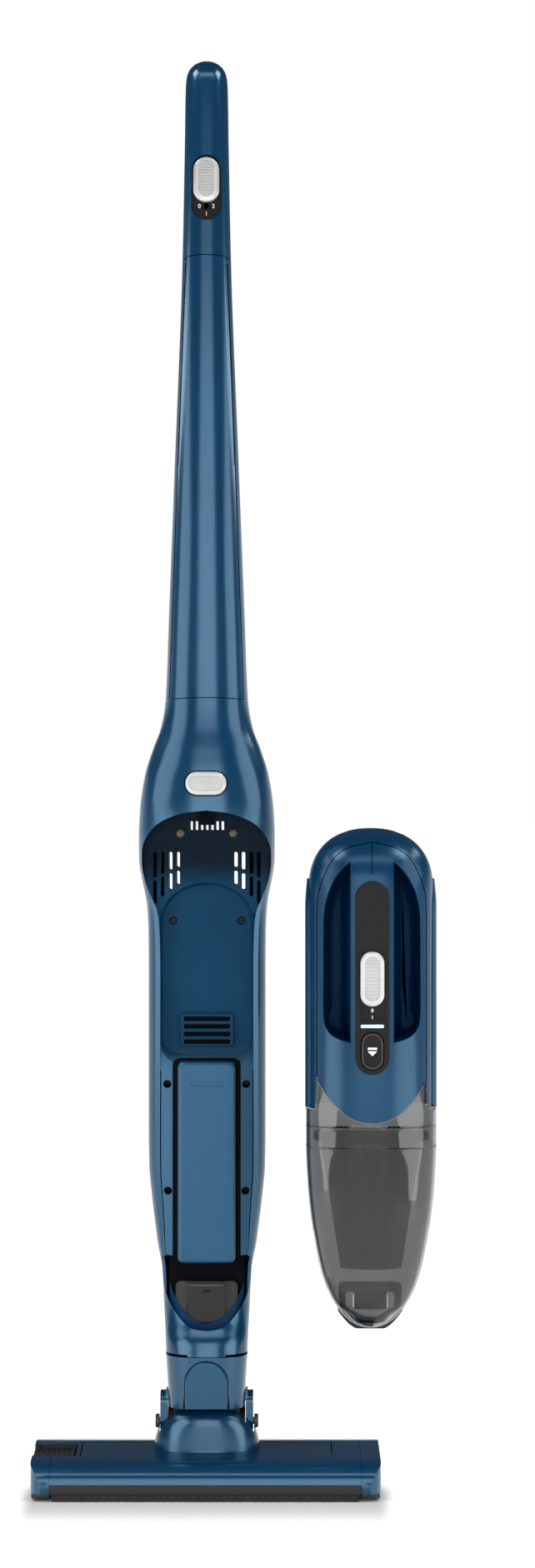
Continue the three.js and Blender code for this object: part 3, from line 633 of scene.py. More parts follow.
NECK_SEAM = 186
CASING_SPLIT = 2.0
RAIL_INNER = 43.3
BAY_FLOOR = -5.3
BOWL_FLOOR = 8.0
LINER_REAR = 21.0
LINER_TOP = 552.0
SCREWS = [(27.6, 456), (31.8, 325), (31.2, 239)]


def above_seam(seam, shift):
    """Everything above an arched seam given by its height at the sides and its rise in the middle."""
    side, rise = seam
    half = 60 if side < 900 else 36
    edge = [(x, side + shift + rise * (1 - (x / half) ** 2)) for x in np.linspace(-half, half, 33)]
    return prism_y("tool", [(-half, 1300), *edge, (half, 1300)], -200, 200)


def bay_outline(grow=0.0):
    right = [(0, 120), (RAIL_INNER + grow, 120), (RAIL_INNER + grow, 440)]
    side = [(RAIL_INNER + 0.1 + grow, 455), (45.2 + grow, 472), (50.5 + grow, 492)]
    arch = [(51.8, 507), (50.2, 520), (39.6, 534.5), (21, 543), (0, 546)]
    right += spline([*side, *[(x + grow, z + grow) for x, z in arch[:-1]], (0, 546 + grow)], 6)
    return mirror_outline(right)


def notch_outline(grow=0.0):
    curve = [
        (0, 128.5), (10, 129.9), (18.5, 134.8), (27.5, 145.8),
        (33, 157), (35.4, 168), (36.6, 184), (37, 200),
    ]
    right = spline([(x + grow, z - grow) for x, z in curve], 6)
    right[0] = (0, 128.5 - grow)
    return mirror_outline([*right, (60, 240), (0, 300)])


def vent_tools(reach):
    columns = [(42, 42, LINER_REAR + 2), (36, 36, LINER_REAR + 2), (29.5, 31, reach), (23.4, 27, reach)]
    tools = []
    for x, height, depth in columns:
        middle = 512 - height * 0.52
        for low, high in ((512 - height, middle - 1.2), (middle + 1.2, 512)):
            for side in (-1, 1):
                outline = round_rect(side * x - 1.5, side * x + 1.5, low, high, 1.4, 4)
                tools.append(prism_y("tool", outline, BOWL_FLOOR - 2, depth))
    return tools


def back_vent_tools():
    return [
        prism_y(
            "tool",
            round_rect((i - 3) * 4.2 - 1.2, (i - 3) * 4.2 + 1.2, 529.4, 536.8, 0.6, 3),
            BAY_FLOOR,
            80,
        )
        for i in range(7)
    ]


def make_stick_casings():
    shell = cut(body_loft("shell", STICK_ROWS), body_loft("tool", STICK_ROWS, WALL))

    neck = keep(copy_of(shell, "neck_top_skin"), block("tool", -90, 90, -90, 90, 100, NECK_SEAM - 0.3))
    cut(neck, prism_y("tool", notch_outline(), -60, 6))
    cut(neck, *[block("tool", *sorted((side * 15, side * 60)), -60, 3, 105, 110.2) for side in (-1, 1)])
    piece(neck, "stick", "blue", "upper_neck_shell", bevel=0.5)

    dock = cut(
        keep(copy_of(shell, "dock"), block("tool", -90, 90, -90, 90, NECK_SEAM, 700)),
        above_seam(TUBE_SEAM, -0.35),
    )
    rear = keep(copy_of(dock, "dock_rear_skin"), block("tool", -90, 90, CASING_SPLIT + 0.2, 90, 100, 700))
    cut(rear, *back_vent_tools(), *vent_tools(80))
    piece(rear, "stick", "blue", "dock_rear_shell", bevel=0.25)
    front = keep(dock, block("tool", -90, 90, -90, CASING_SPLIT - 0.2, 100, 700))
    front.name = "dock_front_skin"
    cut(front, prism_y("tool", bay_outline(), -90, 40))
    cut(front, prism_y("tool", round_rect(-17.3, 17.3, 557.2, 577.8, 10.3), -60, 0))
    piece(front, "stick", "blue", "dock_front_shell", bevel=0.5)

    tube = cut(keep(copy_of(shell, "tube"), above_seam(TUBE_SEAM, 0.35)), above_seam(HANDLE_SEAM, -0.35))
    panel_outline = mirror_outline(
        [(0, 600), (30, 620), (28.9, 648), (23.2, 810), (16.6, 975), (16, 1000), (0, 1000)]
    )
    grown = [(x + math.copysign(0.7, x) if x else 0, z) for x, z in panel_outline]
    panel = keep(copy_of(tube, "tube_panel_skin"), prism_y("tool", panel_outline, -60, 0))
    piece(panel, "stick", "blue", "tube_front_panel", bevel=0.3)
    cut(tube, prism_y("tool", grown, -60, 0))
    tube.name = "tube_shell_skin"
    piece(tube, "stick", "blue", "tube_shell", bevel=0.3)

    handle = keep(shell, above_seam(HANDLE_SEAM, 0.35))
    handle_rear = keep(
        copy_of(handle, "handle_rear_skin"),
        block("tool", -90, 90, CASING_SPLIT + 0.15, 90, 900, 1200),
    )
    piece(handle_rear, "stick", "blue", "handle_rear_shell", bevel=0.25)
    keep(handle, block("tool", -90, 90, -90, CASING_SPLIT - 0.15, 900, 1200))
    cut(handle, prism_y("tool", round_rect(-11.9, 11.9, 1018.8, 1071.2, 11.9), -40, 0))
    handle.name = "handle_front_skin"
    piece(handle, "stick", "blue", "handle_front_shell", bevel=0.4)


def pocket_outline(half, bottom, top, corner):
    """Rounded at the bottom, with a low arch on top."""
    low = round_rect(-half, half, bottom, top, corner)[18:]
    arch = [math.pi * i / 24 for i in range(1, 24)]
    return [
        *low,
        (half, top - 30),
        *[(half * math.cos(a), top - 30 + 30 * math.sin(a)) for a in arch],
        (-half, top - 30),
    ]


def make_bay():
    core = body_loft("bay_liner_skin", STICK_ROWS, WALL + 0.3)
    keep(core, block("tool", -90, 90, -90, LINER_REAR, NECK_SEAM + 1, LINER_TOP))
    cut(core, prism_y("tool", bay_outline(), -90, BAY_FLOOR))
    upper = keep(
        prism_y("tool", bay_outline(-0.6), -90, BOWL_FLOOR),
        prism_y("tool", round_rect(-80, 80, 462, 640, 6), -100, 60),
    )
    cut(core, upper)
    pocket_rings = []
    for t in np.linspace(0, 1, 9):
        ease = 1 - (1 - t) ** 0.6
        width = 36 + 4.6 * ease
        y = 17 - t * (17 - BAY_FLOOR + 1)
        outline = pocket_outline(width, 348 - 9 * ease, 485 + 9 * ease, 13 + 6 * ease)
        pocket_rings.append([(x, y, z) for x, z in outline])
    cut(core, loft("tool", pocket_rings))
    cut(core, *back_vent_tools(), *vent_tools(80))
    for side in (-1, 1):
        cut(core, block("tool", side * 25 - 1.7, side * 25 + 1.7, BAY_FLOOR - 1, 1, NECK_SEAM, 345))
    cut(core, block("tool", -38, 38, 2, 40, 200, 336), block("tool", -8, 8, -16, -6, 530, 600))
    for x, z in SCREWS:
        for side in (-1, 1):
            cut(core, prism_y("tool", circle(side * x, z, 3.3, 24), -9, 40))
    for side in (-1, 1):
        cut(core, prism_y("tool", circle(side * 21.5, 527.5, 2.0, 16), 0, 40))
    piece(core, "stick", "bay", "bay_liner", bevel=0.4)


# ------------------------------------------------------------------ shared shapes of the details
def turned(name, profile, place, steps=40):
    """A turned solid through pairs of station and radius; place puts a station's circle point."""
    rings = []
    for station, radius in profile:
        rings.append([place(station, a, b) for a, b in circle(0, 0, radius, steps)])
    return loft(name, rings)


def turned_y(name, x, z, profile, steps=40):
    return turned(name, profile, lambda y, a, b: (x + a, y, z + b), steps)


def turned_x(name, y, z, profile, steps=40):
    return turned(name, profile, lambda x, a, b: (x, y + a, z + b), steps)


def rib_pad(name, x0, x1, z0, z1, radius, back, face, pitch, width):
    """Raised ribs that fill a rounded outline."""
    ribs = prism_y(name, round_rect(x0, x1, z0, z1, radius), back, face)
    gap = z0 + width
    while gap < z1:
        cut(ribs, block("tool", x0 - 1, x1 + 1, face - 1, back - 0.05, gap, gap + pitch - width))
        gap += pitch
    return ribs


def printed(name, marks, y, depth=0.12):
    """Flat printed figures: (text, x, z, height) in one piece."""
    whole = None
    for text, x, z, height in marks:
        curve = bpy.data.curves.new("figure", "FONT")
        curve.body = text
        curve.size = height * 1.35
        curve.align_x = "CENTER"
        curve.align_y = "CENTER"
        curve.extrude = depth / 2
        writer = bpy.data.objects.new("figure", curve)
        bpy.context.scene.collection.objects.link(writer)
        graph = bpy.context.evaluated_depsgraph_get()
        mesh = bpy.data.meshes.new_from_object(writer.evaluated_get(graph))
        bpy.data.objects.remove(writer)
        mesh.transform(Matrix.Rotation(math.radians(90), 4, "X"))
        mesh.transform(Matrix.Translation((x, y - depth / 2, z)))
        mesh.transform(Matrix.Scale(MM, 4))
        obj = bpy.data.objects.new(name, mesh)
        bpy.context.scene.collection.objects.link(obj)
        whole = obj if whole is None else merge(whole, obj)
    return whole


def merge(obj, *others):
    """Puts the others' faces into obj's mesh as they are."""
    bm = bmesh.new()
    bm.from_mesh(obj.data)
    for other in others:
        bm.from_mesh(other.data)
        bpy.data.objects.remove(other)
    bm.to_mesh(obj.data)
    bm.free()
    return obj


# ------------------------------------------------------------------ controls of the stick
def make_handle_controls():
    plate = pad("switch_plate_skin", -11.7, 11.7, 1019, 1071, 11.6, -15.4, -17.4, 0.5)
    cut(plate, block("tool", -1.8, 1.8, -30, 0, 1028, 1066))
    piece(plate, "stick", "black", "switch_plate")
    knob = pad("handle_switch_skin", -10.3, 10.3, 1033, 1069, 10.2, -17.8, -23, 1.7, 0.3)
    cut(knob, prism_y("tool", round_rect(-6, 6, 1037.4, 1066.4, 5.9), -30, -22.2))
    stem = block("tool", -1.4, 1.4, -18.5, -12, 1048, 1060)
    join(knob, stem)
    piece(knob, "handle_knob", "silver", "handle_switch_knob", bevel=0.25)
    ribs = rib_pad("handle_switch_grip", -5.4, 5.4, 1038, 1065.8, 5.3, -22.1, -22.9, 2.3, 1.3)
    piece(ribs, "handle_knob", "silver_pad", slot="silver_plastic")
    marks = printed(
        "handle_switch_marks",
        [("0", -5.6, 1030.2, 3.4), ("1", 0, 1024, 3.4), ("2", 5.6, 1030.2, 3.4)],
        -17.4,
    )
    piece(marks, "stick", "white", slot="silver_plastic")


def make_dock_controls():
    button = pad("dock_button_skin", -16.4, 16.4, 558.1, 576.9, 9.3, -24, -39.5, 1.8, 0.4)
    cut(button, prism_y("tool", round_rect(-13.6, 13.6, 561.4, 573.6, 6), -50, -38.9))
    piece(button, "dock_button", "silver", "dock_release_button", bevel=0.25)
    grip = pad("dock_button_pad", -13.2, 13.2, 561.8, 573.2, 5.6, -38.7, -39.3, 0.3, 0.15)
    piece(grip, "dock_button", "silver_pad", slot="silver_plastic")
    latch = join(block("dock_latch_skin", -7, 7, -20, 6, 556, 559), block("tool", -6, 6, -14, -8, 534, 556.5))
    cut(latch, prism_x("tool", [(-15, 533), (-15, 541), (-11, 533)], -8, 8))
    piece(latch, "dock_catch", "void", "dock_latch", bevel=0.5)


def make_bay_details():
    panel = pad("central_panel_skin", -23.2, 23.2, 182, 344, 5, -5.6, -14, 3.2, 0.25, 10)
    cut(panel, prism_y("tool", round_rect(-13, 13, 324.2, 327.8, 1.75), -20, -13.2))
    piece(panel, "stick", "blue_satin", "central_panel", bevel=0.2)
    # A near-black frame in the gap round the panel: painted shadow in the groove.
    groove_shadow = pad("central_panel_groove_shadow", -27.4, 27.4, 181, 346.4, 6, -4, -6.8, 0.3)
    cut(groove_shadow, block("tool", -22.5, 22.5, -10, 0, 183, 343))
    piece(groove_shadow, "stick", "void", slot="black_plastic")

    grille = pad("air_grille_skin", -21.8, 21.8, 354.4, 381, 3, 16.7, 14, 0.8)
    for z in (358, 364.2, 370.4, 376.6):
        cut(grille, prism_y("tool", round_rect(-18.8, 18.8, z - 1.9, z + 1.9, 1.2), 0, 20))
    piece(grille, "stick", "bay", "air_grille", bevel=0.2)
    painted_shadow = block("air_grille_shadow", -19.4, 19.4, 16.2, 16.6, 355.6, 379.4)
    piece(painted_shadow, "stick", "void", slot="black_plastic")

    plate = pad("suction_coupling_skin", -25, 25, 132.5, 167, 5, -1, -8.2, 0.8)
    join(plate, pad("tool", -15, 15, 134, 165, 2.5, -7, -9, 0.5))
    join(plate, *[pad("tool", s * 18.8 - 3, s * 18.8 + 3, 138, 163, 2, -7, -8.8, 0.4) for s in (-1, 1)])
    cut(plate, prism_y("tool", round_rect(-3.2, 3.2, 158.4, 160.6, 0.8), -12, -6))
    keep(plate, body_loft("tool", STICK_ROWS, WALL + 0.3))
    piece(plate, "stick", "brown", "suction_coupling")
    lip = pad("coupling_lip", -14, 14, 163.2, 164.6, 0.6, -8.4, -9.5, 0.3)
    piece(lip, "stick", "grey", slot="grey_plastic")
    # A near-black sheet behind the notch: painted shadow in the opening.
    back = block("notch_back_shadow", -30, 30, 0.3, 1.5, 112, 185.5)
    piece(back, "stick", "void", slot="black_plastic")
    rim = keep(
        body_loft("notch_rim", STICK_ROWS, WALL + 0.15),
        block("tool", -60, 60, -10.6, -0.2, 118, 185.6),
    )
    cut(rim, prism_y("tool", notch_outline(-4.5), -60, 20))
    piece(rim, "stick", "navy", slot="navy_plastic", bevel=0.4)

    for side, sign in (("left", -1), ("right", 1)):
        pin = turned_y(
            f"contact_pin_{side}_skin",
            sign * 21.5,
            527.5,
            [(9, 3.8), (5.2, 3.8), (4.4, 3.2), (4, 2.2), (4, 0.4)],
        )
        piece(pin, "stick", "brass", f"contact_pin_{side}")
        for i, (x, z) in enumerate(SCREWS):
            profile = [(29, 1.4), (20, 1.5), (20, 3.1), (18, 3.1), (17.5, 2.5), (17.5, 0.2)]
            screw = turned_y(f"dock_screw_{side}_{i + 1}_skin", sign * x, z, profile, 24)
            for wide, high in ((2.2, 0.45), (0.45, 2.2)):
                cut(screw, block("tool", sign * x - wide, sign * x + wide, 16, 18.4, z - high, z + high))
            piece(screw, "stick", "black", f"dock_screw_{side}_{i + 1}")


# ------------------------------------------------------------------ neck
NECK_ROWS = [(65, 31, -23, 30), (72, 31.1, -24, 30), (90, 32, -24.6, 30.4), (108, 33.1, -25, 31)]
TILT_Y = 8
TILT_Z = 52


def arch_outline(half, bottom, top):
    arc = [
        (half * math.cos(math.pi * i / 28), top - half + half * math.sin(math.pi * i / 28))
        for i in range(29)
    ]
    return [(-half, bottom), (half, bottom), *arc]


def make_neck():
    neck = body_loft("lower_neck_skin", NECK_ROWS)
    cut(neck, body_loft("tool", [(50, 30.8, -22, 30), *NECK_ROWS[1:3], (115, 33.1, -25, 31)], WALL))
    cut(neck, prism_x("tool", [(-50, 40), (50, 40), (50, 66), (-50, 66)], -60, 60))
    cut(neck, prism_y("tool", arch_outline(17.6, 60, 105.6), -60, 0))
    for sign in (-1, 1):
        ear = prism_x(
            "tool",
            round_rect(TILT_Y - 10, TILT_Y + 10, 45, 77, 9.5, 12),
            *sorted((sign * 31.4, sign * 37.5)),
        )
        foot = block("tool", *sorted((sign * 29, sign * 33)), TILT_Y - 9, TILT_Y + 9, 70, 78)
        join(neck, join(ear, foot))
    cut(neck, prism_x("tool", circle(TILT_Y, TILT_Z, 3.2), -60, 60))
    piece(neck, "neck", "blue", "lower_neck_shell", bevel=0.6)

    outline = arch_outline(17, 66.8, 105)
    face = loft("neck_arch_skin", [
        [(x, -21.5, z) for x, z in outline],
        [(x, -25.4, z) for x, z in outline],
        [(x * 0.985, -26.4, 86 + (z - 86) * 0.985) for x, z in outline],
        [(x * 0.95, -27, 86 + (z - 86) * 0.955) for x, z in outline],
    ])
    piece(face, "neck", "blue_satin", "neck_arch_cover")
    backing = prism_y("neck_arch_shadow", arch_outline(18.4, 66.4, 106.2), -21.4, -20.4)
    piece(backing, "neck", "void", slot="black_plastic")

    barrel = turned_x(
        "hinge_barrel_skin", TILT_Y, TILT_Z, [(-31, 12.6), (-30, 13.5), (30, 13.5), (31, 12.6)], 56
    )
    join(barrel, block("tool", -27, 27, TILT_Y - 13, TILT_Y + 12, 52, 80))
    cut(barrel, prism_z("tool", circle(0, TILT_Y, 10), 20, 90))
    piece(barrel, "neck", "black", "hinge_barrel", bevel=0.5)
    for side, sign in (("left", -1), ("right", 1)):
        profile = [
            (33, 2.9), (38.3, 2.9), (38.3, 5.6), (40.8, 5.6),
            (41.6, 4.8), (41.6, 2.6), (41.1, 2.4), (41.1, 0.2),
        ]
        boss = turned_x(f"hinge_boss_{side}_skin", TILT_Y, TILT_Z, [(sign * x, r) for x, r in profile])
        piece(boss, "floor_head", "grey", f"hinge_boss_{side}")


# ------------------------------------------------------------------ floor head
HEAD_HALF = 139
HEAD_FRONT = -60
HEAD_REAR = 58
CAP_HALF = 123.5
COVER_BOTTOM = 13.6


def head_body(name):
    front = [
        (-56, 2), (-59.2, 4.6), (-60, 9), (-59.6, 15),
        (-57.4, 21.5), (-52.5, 26.6), (-45, 29.4), (-36, 30.4),
    ]
    rear = [(20, 33.4), (34, 31.8), (45, 27.6), (53, 20), (57.2, 11.5), (57.6, 6), (54, 3)]
    outline = spline(front, 5) + spline(rear, 5)
    body = prism_x(name, outline, -HEAD_HALF, HEAD_HALF)
    keep(
        body,
        prism_z("tool", round_rect(-HEAD_HALF, HEAD_HALF, HEAD_FRONT - 1, HEAD_REAR + 1, 14, 16), -1, 70),
    )
    front_view = [*round_rect(-HEAD_HALF, HEAD_HALF, 0, 60, 5, 10)]
    return keep(body, prism_y("tool", front_view, -90, 90))


HUMP_ROWS = [
    (28, 43.8, -20.4, 40),
    (31, 43.2, -19.8, 38),
    (36, 42.4, -19.4, 36),
    (42, 41, -19, 34),
    (48, 38.8, -18.6, 32),
    (53, 36.2, -18.2, 30.5),
    (57, 33.2, -17.4, 28.5),
    (60.5, 29.6, -15.8, 25),
    (63, 24.5, -13, 20),
    (64.4, 12, -8, 12),
]


def make_hump():
    return cut(body_loft("hump", HUMP_ROWS, 0, 1.5), block("tool", -60, 60, -90, 90, 0, 29))


def make_head():
    body = head_body("body")
    cover = join(copy_of(body, "head_cover_skin"), make_hump())
    inner = [(HEAD_REAR - 8, 8), (HEAD_REAR - 9, 22), (18, 30.5), (-38, 27.2), (-53, 22), (-57, 13), (-57, 8)]
    cut(cover, prism_x("tool", inner, -CAP_HALF - 20, CAP_HALF + 20))
    wells = [
        prism_x("tool", circle(TILT_Y, TILT_Z, 17, 48), -31.4, 31.4),
        block("tool", -31.4, 31.4, TILT_Y - 17, 60, 34, 80),
        prism_x("tool", circle(TILT_Y, TILT_Z, 6.4), -50, 50),
        block("tool", -50, 50, TILT_Y - 6.4, 60, TILT_Z, 80),
    ]
    for sign in (-1, 1):
        span = sorted((sign * 31.3, sign * 38.1))
        wells.append(prism_x("tool", circle(TILT_Y, TILT_Z, 14, 40), *span))
        wells.append(block("tool", *span, TILT_Y, 60, 40, 80))
    cut(cover, *wells)
    cut(cover, block("tool", -CAP_HALF - 1, -104.2, -28, 8, 20, 60))
    ring = cut(
        prism_z("tool", round_rect(-101, 101, -32, 16, 3), 29, 60),
        prism_z("tool", round_rect(-100.1, 100.1, -31.1, 15.1, 2.4), 20, 70),
    )
    cut(cover, ring)
    keep(cover, block("tool", -CAP_HALF + 0.3, CAP_HALF - 0.3, -90, 90, COVER_BOTTOM, 90))
    piece(cover, "floor_head", "blue", "head_cover", bevel=0.5)

    bumper = keep(
        copy_of(body, "bumper_skin"),
        block("tool", -CAP_HALF + 0.3, CAP_HALF - 0.3, -90, -56.8, 6.2, 13.2),
    )
    piece(bumper, "floor_head", "rubber", "bumper_strip", bevel=0.5)

    for side, sign, rides in (("right", 1, "floor_head"), ("left", -1, "brush_cassette")):
        span = sorted((sign * CAP_HALF, sign * 145))
        cap = keep(copy_of(body, f"{side}_cap_skin"), block("tool", *span, -90, 90, 6, 60))
        foot = keep(
            copy_of(body, f"{side}_cap_foot"),
            block("tool", *sorted((sign * CAP_HALF, sign * 138)), -58.6, 57, 0, 6),
        )
        piece(foot, rides, "black_rubber", slot="black_rubber", bevel=0.4)
        if sign < 0:
            cut(cap, block("tool", -145, -118, -27.6, 7.6, 23, 60))
            join(cap, prism_x("tool", circle(-30, 12.6, 4), -124.5, -117.5))
        piece(cap, rides, "blue", f"{side}_end_cap", bevel=0.6)

    button = join(copy_of(body, "brush_button_skin"), block("tool", -137.4, -104, -26.5, 6.5, 20, 31.6))
    keep(button, block("tool", -138, -105.5, -26.5, 6.5, 25.5, 36))
    cut(button, prism_z("tool", round_rect(-134.6, -108.6, -23, 3, 2), 30.6, 40))
    piece(button, "brush_button", "brown", "brush_release_button", bevel=0.7)
    ribs = None
    for i in range(6):
        x = -131.6 + i * 4
        rib = block("brush_button_ribs", x - 0.7, x + 0.7, -20.5, 0.5, 30.2, 31.5)
        ribs = rib if ribs is None else merge(ribs, rib)
    piece(ribs, "brush_button", "brown", slot="brown_plastic", bevel=0.3)
    bpy.data.objects.remove(body)


def make_brush():
    core = prism_x("brush_core", circle(-30, 12.6, 8, 40), -111, 112)
    join(core, prism_x("tool", circle(-30, 12.6, 7.5, 32), 111, 116.5))
    cut(core, prism_x("tool", circle(-30, 12.6, 4.6), -125, -104))
    piece(core, "brush_roller", "black", "brush_roller")
    tufts = None
    rows, count = 4, 48
    points, faces = [], []
    for row in range(rows):
        for k in range(count):
            x = -109 + k * 218 / (count - 1)
            turn = math.radians(20 + row * 90 + 2.5 * math.sin(k * 0.5))
            out = Vector((0, math.cos(turn), math.sin(turn)))
            side = Vector((0, -math.sin(turn), math.cos(turn)))
            base = len(points)
            for radius, spread in ((7.4, 0.75), (11.7, 1.05)):
                for i in range(6):
                    angle = math.pi * i / 3
                    point = Vector((x, -30, 12.6)) + out * radius
                    point += (
                        Vector((1, 0, 0)) * spread * 1.5 * math.cos(angle) + side * spread * math.sin(angle)
                    )
                    points.append(tuple(point))
            faces += [(base + i, base + (i + 1) % 6, base + 6 + (i + 1) % 6, base + 6 + i) for i in range(6)]
            faces += [tuple(base + i for i in range(5, -1, -1)), tuple(base + 6 + i for i in range(6))]
    tufts = mesh_object("brush_bristles", points, faces)
    outward(tufts)
    piece(tufts, "brush_roller", "bristle", slot="bristle")


def make_front_fringe():
    """A row of short bristle tufts under the front edge."""
    points, faces = [], []
    count = 150
    for k in range(count):
        x = -120.5 + k * 241 / (count - 1)
        lean = 0.5 * math.sin(k * 1.7)
        base = len(points)
        for z, y, spread in ((6.1, -57.2, 0.8), (0.2, -57.6 + lean, 1.0)):
            points += [
                (x + spread * math.cos(math.pi * i / 3), y + spread * math.sin(math.pi * i / 3), z)
                for i in range(6)
            ]
        faces += [(base + i, base + (i + 1) % 6, base + 6 + (i + 1) % 6, base + 6 + i) for i in range(6)]
        faces += [tuple(base + i for i in range(5, -1, -1)), tuple(base + 6 + i for i in range(6))]
    fringe = mesh_object("front_fringe", points, faces)
    outward(fringe)
    piece(fringe, "floor_head", "bristle", slot="bristle")


def make_wheels():
    for side, sign in (("left", -1), ("right", 1)):
        profile = [
            (-4.5, 2), (-4.5, 6.4), (-3.8, 6.8), (-3.8, 8.6),
            (-3, 9.7), (-1.6, 10), (-0.5, 9.4), (0.5, 9.4),
        ]
        profile += [(1.6, 10), (3, 9.7), (3.8, 8.6), (3.8, 6.8), (4.5, 6.4), (4.5, 2)]
        wheel = turned_x(f"rear_wheel_{side}_skin", 40, 10, [(sign * 52 + x, r) for x, r in profile], 48)
        piece(wheel, f"wheel_{side}", "black_rubber", f"rear_wheel_{side}")


# ------------------------------------------------------------------ handheld unit
HAND_X = 131
DOME_FOOT = 484
DOME_HEIGHT = 48
DOME_POWER = 2.3
HAND_WALL = 2.4
HAND_MIDDLE = -39.5


def hand_rows():
    foot = [
        (296, 49.5, -79.4, -16),
        (320, 49.5, -79.8, -16),
        (347, 49.5, -80, -16),
        (353, 49.5, -80, 1),
        (484, 49.5, -80, 1),
    ]
    rows = [(*row, HAND_MIDDLE) for row in foot]
    for t in (0.15, 0.3, 0.45, 0.6, 0.72, 0.82, 0.9, 0.95, 0.98, 0.995, 0.9999):
        f = (1 - t**DOME_POWER) ** (1 / DOME_POWER)
        rows.append((
            DOME_FOOT + t * DOME_HEIGHT,
            49.5 * f,
            -34 - 46 * f,
            -34 + 35 * f,
            -34 + f * (HAND_MIDDLE + 34),
        ))
    return rows


def cup_seam(shift, half=60):
    edge = []
    for x in np.linspace(-42.4, 42.4, 41):
        edge.append((x, 301 + shift + 32 * abs(x / 42.4) ** 2.2))
    outline = [
        (-half, 900),
        (-half, 311 + shift),
        (-44.6, 311 + shift),
        *edge,
        (44.6, 311 + shift),
        (half, 311 + shift),
        (half, 900),
    ]
    return prism_y("tool", outline, -200, 200)


def cover_outline(grow=0.0):
    half = 42.8 + grow
    top = spline(
        [
            (half, 466),
            (41 + grow, 484),
            (31.5 + grow * 0.7, 506 + grow * 0.7),
            (18.5, 516.5 + grow),
            (0, 521 + grow),
        ],
        7,
    )
    return mirror_outline([(0, 280), (half, 280), *top])


def scoop_outline(sign, grow=0.0):
    edge = spline(
        [
            (16.8 - grow, 364 - grow),
            (26, 366.6 - grow),
            (34, 372 - grow),
            (38 + grow, 384 - grow),
            (38.2 + grow, 420),
        ],
        6,
    )
    arc = [(38.2, 446), (37.6, 466), (34.6, 481), (29, 493), (22.6, 501)]
    edge += spline([*[(x + grow, z + grow * 0.7) for x, z in arc], (16.8 - grow, 506 + grow)], 6)
    return [(sign * x, z) for x, z in edge]


def place_hand(obj):
    return moved(obj, dx=HAND_X)


def make_hand_shells():
    rows = hand_rows()
    outer = body_loft("outer", rows)
    inner = body_loft("tool", [(270, 49.5, -79.4, -16, HAND_MIDDLE), *rows[1:-1]], HAND_WALL)
    shell = keep(cut(copy_of(outer, "shell"), inner), cup_seam(0))

    housing = cut(copy_of(shell, "handheld_housing_skin"), prism_y("tool", cover_outline(0.6), -120, -43.7))
    hump = pad("tool", -33, 33, 374, 476, 14, -6, 13, 3)
    cut(hump, prism_y("tool", round_rect(-30.6, 30.6, 376.4, 473.6, 12), -30, 10.6))
    cut(housing, prism_y("tool", round_rect(-30.6, 30.6, 376.4, 473.6, 12), -10, 8))
    join(housing, hump)
    piece(place_hand(housing), "handheld", "hand_blue", "handheld_housing", bevel=0.3)

    cover = keep(shell, prism_y("tool", cover_outline(-0.1), -120, -44))
    cover.name = "handheld_cover_skin"
    for sign in (-1, 1):
        cut(cover, prism_y("tool", scoop_outline(sign), -120, -40))
    cut(cover, block("tool", -0.3, 0.3, -90, -30, 496, 530))
    cut(cover, prism_y("tool", round_rect(-9.4, 9.4, 342.6, 373.2, 9.3), -120, -60))
    piece(place_hand(cover), "handheld", "hand_blue", "handheld_cover", bevel=0.9)

    for side, sign in (("left", -1), ("right", 1)):
        tub = keep(
            prism_y(f"{side}_scoop_skin", scoop_outline(sign, 2.0), -84, -43),
            body_loft("tool", rows, 1.0),
        )
        rings = []
        for inset, y in ((-0.2, -100), (0, -76), (1.2, -60), (3.2, -50.5), (6.0, -46.4), (8, -45.5)):
            rings.append([(x, y, z) for x, z in scoop_outline(sign, -inset)])
        cut(tub, loft("tool", rings))
        piece(place_hand(tub), "handheld", "navy", slot="navy_plastic")

        strip_rows = [
            (311, 52.3, -66, -22),
            (340, 52.3, -66, -22),
            (470, 52.3, -64, -20),
            (492, 50.8, -60, -20),
        ]
        strip = keep(
            body_loft(f"side_strip_{side}_skin", strip_rows),
            prism_x("tool", round_rect(-59, -23, 311.2, 492, 10, 10), *sorted((sign * 46.2, sign * 60))),
        )
        cut(strip, body_loft("tool", rows, -0.2))
        piece(place_hand(strip), "handheld", "hand_blue", f"side_strip_{side}", bevel=0.4)
    bpy.data.objects.remove(outer)


